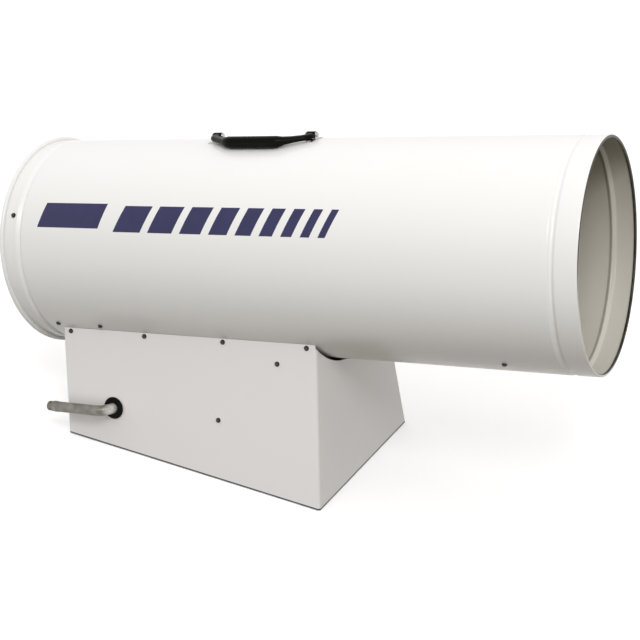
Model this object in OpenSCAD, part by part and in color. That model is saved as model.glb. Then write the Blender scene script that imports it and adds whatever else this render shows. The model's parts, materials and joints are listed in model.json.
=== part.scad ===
// Portable forced-air gas heater: a long round heat shell carried on a flared sheet-metal base.
// Lengths are in millimetres and angles in degrees. In the tube frame X runs along the shell's
// axis from its rear rim, -Y is the side of the gas inlet and Z is square to the axis. on_tube()
// tilts that frame and stands it on the floor, with the origin under the middle of the base.

/* [Heat shell] */
// Outer radius of the heat shell
shell_r = 210; // [195:1:225]
// Length of the heat shell from rim to rim
shell_len = 1170; // [1130:1:1250]
// Sheet thickness of the heat shell
shell_wall = 1.5; // [1:0.1:2.5]
// Rise of the shell towards its outlet, in degrees
shell_rise = 9.2; // [7:0.1:10]
// Height of the shell's axis above the floor at the rear rim
axis_height = 344; // [340:1:370]
// Distance of the rear bead from the rear rim
rear_bead_x = 40; // [38:1:46]
// Distance of the outlet bead from the outlet rim
outlet_bead_x = 51; // [40:1:60]
// Width of a rolled bead
bead_w = 17; // [12:1:20]
// Height of a rolled bead
bead_h = 4; // [2:0.5:6]
// Radius of the wired rear rim
rim_r = 4.5; // [3:0.5:5]
// Radius of the inward hem at the outlet
hem_r = 2.8; // [2:0.1:4]

/* [Base] */
// Distance of the base's rear wall from the rear rim, along the shell
base_start = 78; // [60:1:90]
// Length of the base along the shell
base_len = 583; // [570:1:620]
// Sheet thickness of the base
sheet = 1.5; // [1:0.1:2]
// Angle from the shell's lowest line to the top edge of a side wall
seat_angle = 48; // [46:1:50]
// Outward lean of the side walls
wall_flare = 10.3; // [8:0.1:12]
// Outer radius of the upright corners
corner_r = 6; // [4:0.5:9]
// Gap between the end walls and the shell
end_gap = 6; // [4:0.5:8]
// Height of the walls' lower edge above the floor
floor_gap = 2.2; // [2:0.1:4]
// Height of the pan's upturned edge
pan_lip_h = 20; // [16:1:28]
// Leg of the angle rails that carry the shell
rail_leg = 22; // [18:1:26]
// Distance of the flange screws from the top edge
flange_screw_drop = 7.5; // [6:0.5:9]
// Distance of the first and last flange screw from the end walls
flange_screw_inset = 20; // [16:1:26]

/* [Handle] */
// Place of the handle's middle along the shell
handle_x = 514; // [480:1:560]
// Distance between the two pivots
handle_span = 204; // [190:1:240]
// Distance from the pivot line to the middle of the grip
handle_arm = 50; // [44:1:60]
// Radius of the grip
grip_r = 11.5; // [10:0.5:13]
// Length of the straight grip
grip_len = 80; // [70:1:110]
// Height of the pivot line above the shell
pivot_h = 9; // [8.5:0.5:14]
// Radius of the pivot pins
handle_pin_r = 3; // [2.5:0.1:3.5]

/* [Motor and fan] */
// Radius of the motor's housing
motor_r = 62; // [55:1:66]
// Length of the motor over its end bells
motor_len = 134; // [120:1:140]
// Distance of the motor from the rear rim
motor_x = 60; // [56:1:66]
// Radius of the motor's shaft
shaft_r = 6.35; // [5:0.05:8]
// Radius over the fan's blade tips
fan_r = 190; // [175:1:192]
// Place of the fan along the shell
fan_x = 238; // [234:1:244]
// Number of fan blades
blade_count = 4; // [3:1:5]
// Pitch of the blades, in degrees
blade_pitch = 28; // [20:1:32]
// Number of rings in the rear guard
guard_rings = 9; // [7:1:10]
// Radius of the guard's wire
guard_wire_r = 1.8; // [1.5:0.1:2.2]

/* [Burner] */
// Radius of the combustion liner
liner_r = 178; // [170:1:182]
// Distance of the liner from the rear rim
liner_x = 402; // [398:1:420]
// Length of the liner
liner_len = 634; // [600:1:650]
// Mouth radius of the burner cup
cup_r = 104; // [90:1:120]
// Depth of the burner cup
cup_len = 92; // [80:1:110]
// Radius of the gas pipe to the burner
riser_r = 8; // [7:0.1:9]
// Place of the gas pipe to the burner along the shell
riser_x = 340; // [332:1:346]

/* [Gas inlet and controls] */
// Radius of the inlet pipe
inlet_r = 10.65; // [9:0.05:12]
// Bore radius of the inlet pipe
inlet_bore_r = 7.9; // [6:0.1:8.5]
// Place of the inlet along the shell
inlet_x = 197; // [190:1:205]
// Distance of the inlet below the top edge, along the wall
inlet_drop = 160; // [154:1:164]
// Distance of the inlet pipe's axis from the side wall
inlet_stand = 35; // [32:1:42]
// Distance of the inlet pipe's free end from the rear rim
inlet_end_x = 84; // [78:1:90]
// Outer radius of the rubber grommet
grommet_r = 22.5; // [20:0.5:25]
// Radius of the thermostat knob
knob_r = 19; // [16:0.5:22]
// Radius of the reset button
button_r = 7; // [5:0.5:8]

/* [Hidden] */
$fn = 64;

// Clearances and overruns shared by all pieces
overrun = 1;
seat_gap = 0.25;
running_gap = 0.05;
screw_gap = 0.2;
far_away = 900;

// Screws
screw_r = 2.1;
screw_head_r = 5;
washer_t = 0.9;
hex_r = 3.9;
hex_h = 2.6;

// Shell
shell_in_r = shell_r - shell_wall;
collar_r = shell_r - 0.3 * shell_wall;
bead_arc_r = (bead_h * bead_h + bead_w * bead_w / 4) / (2 * bead_h);
bead_centre_r = shell_r + bead_h - bead_arc_r;
outlet_bead_place = shell_len - outlet_bead_x;

// Base
base_end = base_start + base_len;
top_half = shell_r * sin(seat_angle);
top_z = -shell_r * cos(seat_angle);
floor_depth = axis_height / cos(shell_rise);
footprint_mid = (base_start + base_end) / 2 / cos(shell_rise) + floor_depth * sin(shell_rise);
return_strip = 14;
panel_inset = 9;
panel_top_drop = 3;
vent_w = 70;
vent_h = 5;
vent_pitch = 12;
vent_count = 4;
vent_drop = 70;

// Flange screws
flange_screws = 4;
flange_pitch = (base_len - 2 * flange_screw_inset) / (flange_screws - 1);
function flange_place(i) = base_start + flange_screw_inset + i * flange_pitch;

// Guard
guard_x = 5;
guard_tab_angle = 61;
guard_tab_w = 14;
guard_tab_t = 1.5;
guard_screw_x = 27;
guard_first_r = 28;
guard_last_r = shell_in_r - guard_tab_t - 2 * seat_gap - guard_wire_r;
guard_step = (guard_last_r - guard_first_r) / (guard_rings - 1);
guard_spokes = 6;
guard_places = [for (i = [0 : 2]) [guard_screw_x, guard_tab_angle + 120 * i]];

// Motor mount
mount_t = 2.5;
mount_x = 66;
mount_len = 125;
mount_screw_x = 76;
mount_screw_pitch = 105;
mount_angle = 128;
mount_foot_spread = 9;
mount_seat_half = 40;
mount_places = [for (i = [0, 1], s = [-1, 1]) [mount_screw_x + i * mount_screw_pitch, s * mount_angle]];
strap_t = 1.5;
strap_w = 16;
strap_ear = 14;
strap_spread = 50;
mount_seat_z = -(motor_r + seat_gap + strap_t);

// Motor
motor_wall = 2;
bell_len = 26;
bell_wall = 3;
bearing_r = 14;
bearing_w = 10;
boss_wall = 4;
stator_in_r = 36;
stator_len = 62;
air_gap_r = 0.6;
shaft_beyond_fan = 22;
shaft_start = motor_x + bell_wall + seat_gap;
shaft_end = fan_x + shaft_beyond_fan;
motor_mid = motor_x + motor_len / 2;
bell_vents = 8;
bell_vent_r = 6;
stator_slots = 12;
slot_r = 5;

// Fan
hub_r = 17;
hub_len = 26;
arm_w = 22;
arm_t = 3;
arm_end_r = 92;
blade_t = 1.6;
blade_root_r = 40;
blade_root_w = 62;
blade_tip_w = 122;
blade_camber_r = 170;
blade_corner_r = 16;
rivet_r = 2.4;
rivet_head_r = 4.5;
rivet_head_h = 1.6;
rivet_places = [54, 68, 82];

// Liner
liner_wall = 1.2;
liner_bead_h = 3;
liner_bead_arc_r = 9;
liner_bead_x = 46;
liner_flare = 8;
bracket_t = 1.5;
bracket_w = 24;
bracket_front_angle = 139.2;
bracket_rear_angle = 156;
bracket_spread = 7;
bracket_from_front = 20;
bracket_from_rear = 50;
bracket_front_x = liner_x + liner_len - bracket_from_front;
bracket_rear_x = liner_x + bracket_from_rear;
bracket_places = [for (s = [-1, 1]) each [[bracket_rear_x, s * bracket_rear_angle],
    [bracket_front_x, s * bracket_front_angle]]];
liner_hole_r = 7;
liner_hole_rows = 2;
liner_holes = 12;
liner_hole_x = 150;
liner_hole_pitch = 60;

// Burner
plate_t = 1.5;
plate_x = liner_x + 8;
plate_lip = 12;
cup_back_r = 44;
cup_slope = (cup_r - cup_back_r) / cup_len;
cup_wall = 1.5;
swirl_slots = 12;
swirl_w = 9;
swirl_len = 44;
swirl_r = 130;
swirl_slant = 30;
cup_holes = 12;
cup_rows = 3;
cup_hole_r = 5;
orifice_r = 11;
orifice_len = 34;
orifice_bore_r = 1.7;
riser_wall = 1.6;
riser_bend_r = 26;
electrode_place_r = 92;
electrode_flange_r = 11;
ceramic_r = 6;
ceramic_back = 22;
ceramic_front = 30;
rod_r = 1.5;
rod_len = 34;

// Air switch
air_switch_x = 296;
air_switch_angle = -100;
air_switch_size = [34, 24, 18];
paddle_axis_r = 176;
paddle_pin_r = 1.5;
paddle_w = 26;
paddle_len = 46;
paddle_t = 1.2;
paddle_ear = 3;
paddle_ear_w = 5;

// Gas train
valve_in = (top_half + inlet_drop * sin(wall_flare)) / cos(wall_flare);
valve_z = top_z - valve_in * sin(wall_flare) - inlet_drop * cos(wall_flare);
valve_len = 84;
valve_w = 64;
valve_h = 46;
valve_boss_r = 16;
valve_boss_len = 10;
coil_r = 15;
coil_h = 34;
coil_spread = 40;
inlet_bend_r = 26;
connector_hex_r = 12.5;
connector_hex_len = 11;
connector_len = 22;
connector_r = 10.2;
grommet_lip = 5;
grommet_hole_r = 13;
bracket_sheet = 2;
valve_bracket_w = 50;

// Control box behind the two wall screws
box_from_end = 217;
box_screw_span = 134;
box_screw_a = [base_end - box_from_end, -163];
box_screw_b = [box_screw_a[0] + box_screw_span, -42];
box_depth = 42;
box_margin = 9;
box_tab = 11;
box_tab_t = 2;

// Far side controls: places along the wall and down from its top edge
control_drop = 92;
switch_x = 318;
knob_x = 410;
reset_x = 492;
gland_from_end = 41;
gland_x = base_end - gland_from_end;
gland_drop = 168;
switch_w = 30;
switch_h = 46;
switch_bezel = 4;
switch_depth = 26;
bezel_t = 2.5;
rocker_proud = 4;
rocker_gap = 1.2;
rocker_pin_r = 2;
rocker_tilt = 10;
knob_h = 18;
knob_gap = 1.5;
stem_r = 3.2;
thermostat_size = [56, 30, 46];
reset_nut_r = 13;
reset_nut_h = 4;
reset_depth = 24;
button_h = 7;
button_travel = 2.5;
gland_hex_r = 15;
gland_hex_h = 6;
gland_dome_r = 12;
gland_len = 20;
gland_bore_r = 5.2;
gland_nut_r = 15;
gland_nut_h = 5;

// Pieces on the pan, with their places along the floor from the origin
transformer_size = [78, 56, 58];
transformer_place = [-40, 110];
block_size = [92, 30, 22];
block_place = [96, 118];

// Limit switch under the shell, inside the base
limit_from_end = 101;
limit_x = base_end - limit_from_end;
limit_r = 12;
limit_h = 12;
limit_flange = [36, 16, 2];

// Handle
eye_r = 6.8;
eye_w = 18;
tab_len = 14;
tab_t = 11;
arm_thick_r = 9.5;
arm_thin_r = 5.3;
ear_t = 1.5;
ear_gap = 0.6;
ear_r = 6;
pin_head_r = 4.6;
pin_head_h = 2.2;
bracket_foot = 16;
handle_rivet_r = 4.6;
bracket_spread_angle = 2 * asin(bracket_foot * 1.45 / shell_r);
bail_gap = 0.6;
pivot_r = shell_r + pivot_h;
grip_centre_r = shell_r + grip_r + bail_gap;
handle_drop = 90 - acos((pivot_r * pivot_r + handle_arm * handle_arm - grip_centre_r * grip_centre_r)
    / (2 * pivot_r * handle_arm));

// Stands the tube frame on the floor
module on_tube() translate([-footprint_mid, 0, axis_height]) rotate([0, -shell_rise, 0]) children();

// Turns a shape's Z axis onto the shell's axis
module along_axis() rotate([0, 90, 0]) children();

// Puts a shape on the shell: +Z points out, at an angle from the top towards the inlet side
module at_shell(x, angle) translate([x, 0, 0]) rotate([angle, 0, 0]) children();

// Frame of the side wall with the inlet: Z up along the wall from its top edge, -Y outwards
module near_wall() translate([0, -top_half, top_z]) rotate([-wall_flare, 0, 0]) children();

// The same frame on the other side wall
module far_wall() mirror([0, 1, 0]) near_wall() children();

// Turns a shape's Z axis outwards, square to a side wall
module out_of_wall(x, drop) translate([x, 0, -drop]) rotate([90, 0, 0]) children();

// A strip bent round the shell's axis, centred on +Z
module arc_strip(r_in, r_out, width, spread) {
    rotate([0, -90, 0]) rotate([0, 0, -spread / 2]) rotate_extrude(angle = spread)
        translate([r_in, -width / 2]) square([r_out - r_in, width]);
}

// A plain ring along the shell's axis, from x = 0
module axis_ring(r_in, r_out, length) {
    along_axis() difference() {
        cylinder(r = r_out, h = length);
        translate([0, 0, -overrun]) cylinder(r = r_in, h = length + 2 * overrun);
    }
}

// A section in Y and Z, drawn out along X
module along_x(length) rotate([90, 0, 90]) linear_extrude(length) children();

// The outline of a bent sheet through a list of points
module bent_sheet(points, t) {
    for (i = [0 : len(points) - 2]) {
        run = points[i + 1] - points[i];
        translate(points[i]) rotate(atan2(run[1], run[0])) translate([0, -t / 2]) square([norm(run), t]);
    }
    for (p = points) translate(p) circle(r = t / 2);
}

// Sheet-metal screw with a washer head, seated at z = 0
module sheet_screw(depth) {
    cylinder(r = screw_head_r, h = washer_t);
    cylinder(r = hex_r, h = washer_t + hex_h, $fn = 6);
    translate([0, 0, -depth]) cylinder(r = screw_r, h = depth + washer_t);
}

// Hole for such a screw
module screw_hole(depth) translate([0, 0, -depth]) cylinder(r = screw_r + screw_gap, h = 2 * depth);

// Everything below a height over the floor, in the tube frame
module below_floor(height) {
    rotate([0, shell_rise, 0]) translate([footprint_mid, 0, -axis_height])
        translate([-far_away, -far_away, -far_away]) cube([2 * far_away, 2 * far_away, far_away + height]);
}

// The shell's wall, its two beads, the duct collar with its hem and the wired rear rim
module heat_shell_profile() {
    difference() {
        union() {
            translate([shell_in_r, 0]) square([shell_wall, outlet_bead_place]);
            for (x = [rear_bead_x, outlet_bead_place]) translate([bead_centre_r, x]) circle(r = bead_arc_r);
        }
        for (x = [rear_bead_x, outlet_bead_place])
            translate([bead_centre_r, x]) circle(r = bead_arc_r - shell_wall);
        translate([shell_in_r - bead_arc_r * 2, rear_bead_x - bead_arc_r])
            square([bead_arc_r * 2, shell_len]);
    }
    translate([collar_r - shell_wall, outlet_bead_place + bead_w / 2])
        square([shell_wall, outlet_bead_x - bead_w / 2 - hem_r]);
    translate([shell_in_r + rim_r, rim_r]) circle(r = rim_r);
    translate([collar_r - hem_r, shell_len - hem_r]) circle(r = hem_r);
}

module heat_shell() color("white") on_tube() difference() {
    along_axis() rotate_extrude() heat_shell_profile();
    for (p = concat(guard_places, mount_places, bracket_places)) at_shell(p[0], p[1])
        translate([0, 0, shell_r]) screw_hole(2 * shell_wall);
    for (s = [-1, 1], t = [-1, 1]) handle_rivet_place(s, t) screw_hole(ear_t + 3 * shell_wall);
    at_shell(riser_x, 180) translate([0, 0, shell_in_r - shell_wall])
        cylinder(r = riser_r + 2 * overrun, h = 3 * shell_wall);
}

// Inner sleeve round the flame, with a flared rear edge, a front bead and two rows of air holes
module combustion_liner_profile() {
    in_r = liner_r - liner_wall;
    bead_at = liner_len - liner_bead_x;
    bead_mid = liner_r + liner_bead_h - liner_bead_arc_r;
    difference() {
        union() {
            translate([in_r, 0]) square([liner_wall, liner_len]);
            translate([bead_mid, bead_at]) circle(r = liner_bead_arc_r);
            polygon([[in_r, 0], [in_r + liner_flare, -liner_flare],
                [liner_r + liner_flare, -liner_flare], [liner_r, liner_wall]]);
        }
        translate([bead_mid, bead_at]) circle(r = liner_bead_arc_r - liner_wall);
        translate([in_r - 2 * liner_bead_arc_r, bead_at - liner_bead_arc_r])
            square([2 * liner_bead_arc_r, 2 * liner_bead_arc_r]);
    }
}

module combustion_liner() color("silver") on_tube() translate([liner_x, 0, 0]) difference() {
    along_axis() rotate_extrude() combustion_liner_profile();
    for (row = [1 : liner_hole_rows], i = [0 : liner_holes - 1])
        at_shell(liner_hole_x + row * liner_hole_pitch, (i + row / 2) * 360 / liner_holes)
            translate([0, 0, liner_r - 3 * liner_wall]) cylinder(r = liner_hole_r, h = 5 * liner_wall);
}

// Section of a ring between two radii, spread evenly about the Y axis
module ring_share(r_in, r_out, spread) intersection() {
    difference() {
        circle(r = r_out);
        circle(r = r_in);
    }
    polygon([[0, 0], [-2 * r_out * tan(spread / 2), 2 * r_out], [2 * r_out * tan(spread / 2), 2 * r_out]]);
}

// Z-shaped brackets that hold the liner off the shell
module liner_brackets() color("silver") on_tube() for (p = bracket_places) {
    side = sign(p[1]);
    inner = liner_r + seat_gap;
    outer = shell_in_r - seat_gap;
    at_shell(p[0], p[1] + side * bracket_spread) difference() {
        translate([-bracket_w / 2, 0, 0]) along_x(bracket_w) {
            rotate(-side * bracket_spread) ring_share(outer - bracket_t, outer, 2 * bracket_spread);
            rotate(side * bracket_spread) ring_share(inner, inner + bracket_t, 2 * bracket_spread);
            translate([-bracket_t / 2, inner + bracket_t / 2]) square([bracket_t, outer - inner - bracket_t]);
        }
        at_shell(0, -side * bracket_spread) translate([0, 0, outer]) screw_hole(2 * bracket_t);
    }
}

module liner_screws() color("dimgray") on_tube() for (p = bracket_places)
    at_shell(p[0], p[1]) translate([0, 0, shell_r]) sheet_screw(shell_wall + 3 * bracket_t);

// Wire guard over the air intake: rings welded on spokes, with three screwed tabs
module fan_guard() color("dimgray") on_tube() {
    for (i = [0 : guard_rings - 1]) at_shell(guard_x, 180 / guard_spokes) along_axis() rotate_extrude()
        translate([guard_first_r + i * guard_step, 0]) circle(r = guard_wire_r);
    for (i = [0 : guard_spokes - 1])
        at_shell(guard_x + guard_wire_r * 1.5, guard_tab_angle + i * 360 / guard_spokes)
            translate([0, 0, guard_first_r]) cylinder(r = guard_wire_r, h = guard_last_r - guard_first_r);
    for (p = guard_places) at_shell(0, p[1]) difference() {
        union() {
            translate([guard_x + guard_screw_x / 2, 0, 0])
                arc_strip(shell_in_r - seat_gap - guard_tab_t, shell_in_r - seat_gap, guard_screw_x + guard_x,
                    2 * asin(guard_tab_w / 2 / shell_in_r));
            translate([guard_x, -guard_tab_w / 2, guard_last_r])
                cube([guard_tab_t, guard_tab_w, shell_in_r - guard_tab_t - guard_last_r]);
        }
        translate([guard_screw_x, 0, shell_in_r]) screw_hole(3 * guard_tab_t);
    }
}

module guard_screws() color("dimgray") on_tube() for (p = guard_places)
    at_shell(p[0], p[1]) translate([0, 0, shell_r]) sheet_screw(shell_wall + 3 * guard_tab_t);

// Bridge under the motor, bent from one plate and screwed to the shell at both sides
module motor_mount() color("gainsboro") on_tube() {
    foot_r = shell_in_r - seat_gap - mount_t / 2;
    foot = [foot_r * sin(mount_angle), foot_r * cos(mount_angle)];
    seat = [mount_seat_half, mount_seat_z - mount_t / 2];
    difference() {
        union() {
            translate([mount_x, 0, 0]) along_x(mount_len)
                bent_sheet([[-foot[0], foot[1]], [-seat[0], seat[1]], seat, foot], mount_t);
            for (s = [-1, 1]) at_shell(mount_x + mount_len / 2, s * mount_angle)
                arc_strip(foot_r - mount_t / 2, foot_r + mount_t / 2, mount_len, mount_foot_spread);
        }
        for (p = mount_places) at_shell(p[0], p[1]) translate([0, 0, foot_r]) screw_hole(3 * mount_t);
    }
}

module motor_mount_screws() color("dimgray") on_tube() for (p = mount_places)
    at_shell(p[0], p[1]) translate([0, 0, shell_r]) sheet_screw(shell_wall + mount_t);

// Two bands that clamp the motor down on its bridge
module motor_straps() color("silver") on_tube() for (s = [-1, 1]) {
    band_in = motor_r + seat_gap;
    translate([motor_mid + s * strap_spread / 2 - strap_w / 2, 0, 0]) difference() {
        union() {
            axis_ring(band_in, band_in + strap_t, strap_w);
            for (t = [-1, 1]) translate([0, t * 2 * strap_t - strap_t / 2, band_in])
                cube([strap_w, strap_t, strap_ear]);
        }
        translate([-overrun, -strap_t, 0])
            cube([strap_w + 2 * overrun, 2 * strap_t, band_in + strap_ear + strap_t]);
        translate([strap_w / 2, 0, band_in + strap_ear * 0.6]) rotate([90, 0, 0])
            cylinder(r = screw_r, h = 12 * strap_t, center = true);
    }
}

module motor_shell() color("#3a3f45") on_tube() translate([motor_x + bell_len, 0, 0])
    axis_ring(motor_r - motor_wall, motor_r, motor_len - 2 * bell_len);

// End bell: a cup with a bearing boss, vented round its rim; it opens towards +X
module end_bell() {
    boss_r = bearing_r + boss_wall;
    difference() {
        along_axis() rotate_extrude() {
            translate([shaft_r + overrun, 0]) square([motor_r - bell_wall - shaft_r - overrun, bell_wall]);
            translate([motor_r - 2 * bell_wall, bell_wall]) intersection() {
                circle(r = 2 * bell_wall);
                translate([0, -bell_wall]) square([2 * bell_wall, 2 * bell_wall]);
            }
            translate([motor_r - bell_wall, bell_wall]) square([bell_wall, bell_len - bell_wall]);
            translate([bearing_r, 0]) square([boss_wall, bell_wall + bearing_w]);
        }
        for (i = [0 : bell_vents - 1]) rotate([i * 360 / bell_vents, 0, 0])
            translate([-overrun, 0, (motor_r + boss_r) / 2]) along_axis()
                cylinder(r = bell_vent_r, h = 3 * bell_wall);
    }
}

module motor_rear_bell() color("#4a4f55") on_tube() translate([motor_x, 0, 0]) end_bell();

module motor_front_bell() color("#4a4f55") on_tube() translate([motor_x + motor_len, 0, 0])
    mirror([1, 0, 0]) end_bell();

module motor_bearings() color("silver") on_tube()
    for (x = [motor_x + bell_wall, motor_x + motor_len - bell_wall - bearing_w])
        translate([x, 0, 0]) axis_ring(shaft_r + running_gap, bearing_r, bearing_w);

// Laminated stack with round slots towards the rotor
module motor_stator() color("#70757a") on_tube() translate([motor_mid - stator_len / 2, 0, 0]) difference() {
    axis_ring(stator_in_r, motor_r - motor_wall - seat_gap / 2, stator_len);
    for (i = [0 : stator_slots - 1]) rotate([i * 360 / stator_slots, 0, 0])
        translate([-overrun, 0, stator_in_r + slot_r * 0.7]) along_axis()
            cylinder(r = slot_r, h = stator_len + 2 * overrun);
}

module motor_rotor() color("#8a8f94") on_tube() translate([motor_mid - stator_len / 2, 0, 0])
    axis_ring(shaft_r, stator_in_r - air_gap_r, stator_len);

module motor_shaft() color("silver") on_tube() translate([shaft_start, 0, 0]) along_axis()
    cylinder(r = shaft_r, h = shaft_end - shaft_start);

// Frame of one blade: Z out along the blade, Y across its chord, at the fan's place and pitch
module blade_frame(i) translate([fan_x, 0, 0]) rotate([i * 360 / blade_count, 0, 0])
    rotate([0, 0, blade_pitch]) children();

// Hub with one flat arm per blade
module fan_spider() color("silver") on_tube() difference() {
    union() {
        translate([fan_x - hub_len / 2, 0, 0]) along_axis() cylinder(r = hub_r, h = hub_len);
        for (i = [0 : blade_count - 1]) blade_frame(i) translate([blade_t, -arm_w / 2, hub_r * 0.6])
            cube([arm_t, arm_w, arm_end_r - hub_r * 0.6]);
    }
    translate([fan_x - hub_len, 0, 0]) along_axis() cylinder(r = shaft_r + running_gap / 2, h = 2 * hub_len);
    for (i = [0 : blade_count - 1], r = rivet_places) blade_frame(i)
        translate([0, 0, r]) along_axis() cylinder(r = rivet_r + screw_gap, h = 3 * arm_t);
}

// Outline of a blade across its chord and along its length, with rounded tip corners
function corner_arc(cy, cz, from, to) = [for (k = [0 : 5]) let (a = from + (to - from) * k / 5)
    [cy + blade_corner_r * cos(a), cz + blade_corner_r * sin(a)]];
blade_edge = blade_tip_w / 2 - blade_corner_r;
blade_tip_z = fan_r - blade_corner_r * 1.7;
blade_outline = concat([[-blade_root_w / 2, blade_root_r], [blade_root_w / 2, blade_root_r]],
    corner_arc(blade_edge, blade_tip_z, 0, 90), corner_arc(-blade_edge, blade_tip_z, 90, 180));

// Pressed blades: a sheet rolled to a camber, cut to the outline and riveted to the arms
module fan_blades() color("gainsboro") on_tube() for (i = [0 : blade_count - 1]) blade_frame(i) difference() {
    intersection() {
        linear_extrude(fan_r) translate([-blade_camber_r, 0]) difference() {
            circle(r = blade_camber_r + blade_t);
            circle(r = blade_camber_r);
        }
        translate([-blade_tip_w / 2, 0, 0]) along_x(blade_tip_w) polygon(blade_outline);
    }
    for (r = rivet_places) translate([-arm_t, 0, r]) along_axis()
        cylinder(r = rivet_r + screw_gap, h = 3 * arm_t);
}

module fan_rivets() color("silver") on_tube() for (i = [0 : blade_count - 1], r = rivet_places)
    blade_frame(i) translate([0, 0, r]) along_axis() {
        cylinder(r = rivet_r, h = blade_t + arm_t);
        translate([0, 0, blade_t + arm_t]) cylinder(r = rivet_head_r, h = rivet_head_h);
        translate([0, 0, -rivet_head_h - seat_gap / 2]) cylinder(r = rivet_head_r, h = rivet_head_h);
    }

// Disc that closes the liner's rear, pierced with slanted slots that swirl the air
module burner_plate() color("silver") on_tube() translate([plate_x, 0, 0]) difference() {
    union() {
        axis_ring(cup_back_r + plate_t * cup_slope + seat_gap, liner_r - liner_wall - seat_gap, plate_t);
        axis_ring(liner_r - liner_wall - seat_gap - plate_t, liner_r - liner_wall - seat_gap, plate_lip);
    }
    for (i = [0 : swirl_slots - 1]) rotate([i * 360 / swirl_slots, 0, 0])
        translate([-overrun, 0, swirl_r]) rotate([swirl_slant, 0, 0])
        translate([0, -swirl_w / 2, -swirl_len / 2]) cube([2 * overrun + plate_t, swirl_w, swirl_len]);
    for (a = [90, -90]) rotate([a, 0, 0]) translate([-overrun, 0, electrode_place_r]) along_axis()
        cylinder(r = ceramic_r + screw_gap, h = 2 * overrun + plate_t);
}

// Flared cup that holds the flame, with rows of air holes round its wall
module burner_cup() color("silver") on_tube() translate([plate_x, 0, 0]) difference() {
    along_axis() rotate_extrude() {
        translate([orifice_r + seat_gap, 0]) square([cup_back_r - orifice_r - seat_gap, cup_wall]);
        polygon([[cup_back_r - cup_wall, 0], [cup_back_r, 0], [cup_r, cup_len], [cup_r - cup_wall, cup_len]]);
        translate([cup_r - cup_wall, cup_len]) circle(r = cup_wall);
    }
    for (row = [0 : cup_rows - 1], i = [0 : cup_holes - 1]) {
        share = 0.25 + row * 0.25;
        at_shell(cup_len * share, (i + row / 2) * 360 / cup_holes)
            cylinder(r = cup_hole_r, h = cup_r);
    }
}

// Brass nozzle on the end of the gas pipe
module gas_orifice() color("goldenrod") on_tube() translate([plate_x - orifice_len / 2, 0, 0])
    along_axis() difference() {
        union() {
            cylinder(r = orifice_r, h = orifice_len * 0.8);
            cylinder(r = orifice_r * 1.35, h = orifice_len * 0.25, $fn = 6);
            translate([0, 0, orifice_len * 0.8])
                cylinder(r1 = orifice_r * 0.8, r2 = orifice_r * 0.4, h = orifice_len * 0.2);
        }
        translate([0, 0, -overrun]) cylinder(r = orifice_bore_r, h = orifice_len + 2 * overrun);
    }

// A pipe's bend through a right angle, from +Z towards +X, round a centre at x = bend
module pipe_bend(r, bend) translate([bend, 0, 0]) rotate([90, 0, 0]) rotate([0, 0, 90])
    rotate_extrude(angle = 90) translate([bend, 0]) circle(r = r);

// Gas pipe from the valve up through the shell to the orifice
module gas_riser_solid(r) {
    start = inlet_x + valve_len / 2;
    translate([start, 0, valve_z]) along_axis() cylinder(r = r, h = riser_x - riser_bend_r - start);
    translate([riser_x, 0, valve_z + riser_bend_r]) mirror([0, 0, 1]) mirror([1, 0, 0])
        pipe_bend(r, riser_bend_r);
    translate([riser_x, 0, valve_z + riser_bend_r]) cylinder(r = r, h = -valve_z - 2 * riser_bend_r);
    translate([riser_x, 0, -riser_bend_r]) pipe_bend(r, riser_bend_r);
    translate([riser_x + riser_bend_r, 0, 0]) along_axis()
        cylinder(r = r, h = plate_x - orifice_len / 2 - riser_x - riser_bend_r);
}

module gas_riser() color("#8d8d88") on_tube() difference() {
    gas_riser_solid(riser_r);
    gas_riser_solid(riser_r - riser_wall);
}

// Electrode: a flange on the burner plate, a ceramic stem through it and a wire rod
module electrode(angle, hook) rotate([angle, 0, 0]) translate([plate_x, 0, electrode_place_r]) along_axis() {
    translate([0, 0, -plate_t]) cylinder(r = electrode_flange_r, h = plate_t);
    translate([0, 0, -ceramic_back]) cylinder(r = ceramic_r, h = ceramic_back + plate_t);
    translate([0, 0, plate_t]) cylinder(r1 = ceramic_r, r2 = ceramic_r * 0.6, h = ceramic_front);
    translate([0, 0, ceramic_front]) cylinder(r = rod_r, h = rod_len);
    if (hook) translate([0, 0, ceramic_front + rod_len]) sphere(r = 2 * rod_r);
}

module igniter() color("ivory") on_tube() electrode(90, true);

module flame_sensor() color("ivory") on_tube() electrode(-90, false);

// Switch that proves the air flow, with ears for its paddle
module air_switch() color("#2b2b2b") on_tube() at_shell(air_switch_x, air_switch_angle) {
    size = air_switch_size;
    top = shell_in_r * cos(asin(size[1] / 2 / shell_in_r)) - seat_gap;
    difference() {
        union() {
            translate([-size[0] / 2, -size[1] / 2, top - size[2]]) cube(size);
            for (s = [-1, 1]) translate([-paddle_ear_w, s * (size[1] / 2 - paddle_ear / 2) - paddle_ear / 2,
                paddle_axis_r - paddle_ear_w]) cube([2 * paddle_ear_w, paddle_ear, top - paddle_axis_r]);
        }
        translate([0, 0, paddle_axis_r]) rotate([90, 0, 0])
            cylinder(r = paddle_pin_r + running_gap, h = 2 * size[1], center = true);
    }
}

// Sheet-metal sail on a pin
module air_paddle() color("silver") on_tube() at_shell(air_switch_x, air_switch_angle)
    translate([0, 0, paddle_axis_r]) {
        inner = air_switch_size[1] - 2 * paddle_ear - 2 * seat_gap;
        rotate([90, 0, 0]) cylinder(r = paddle_pin_r, h = air_switch_size[1], center = true);
        rotate([90, 0, 0]) cylinder(r = 2 * paddle_pin_r, h = inner, center = true);
        translate([-paddle_t / 2, -inner / 2, -paddle_len]) cube([paddle_t, inner, paddle_len]);
        translate([-paddle_t / 2, -paddle_w / 2, -paddle_len]) cube([paddle_t, paddle_w, paddle_len * 0.6]);
    }

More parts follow.
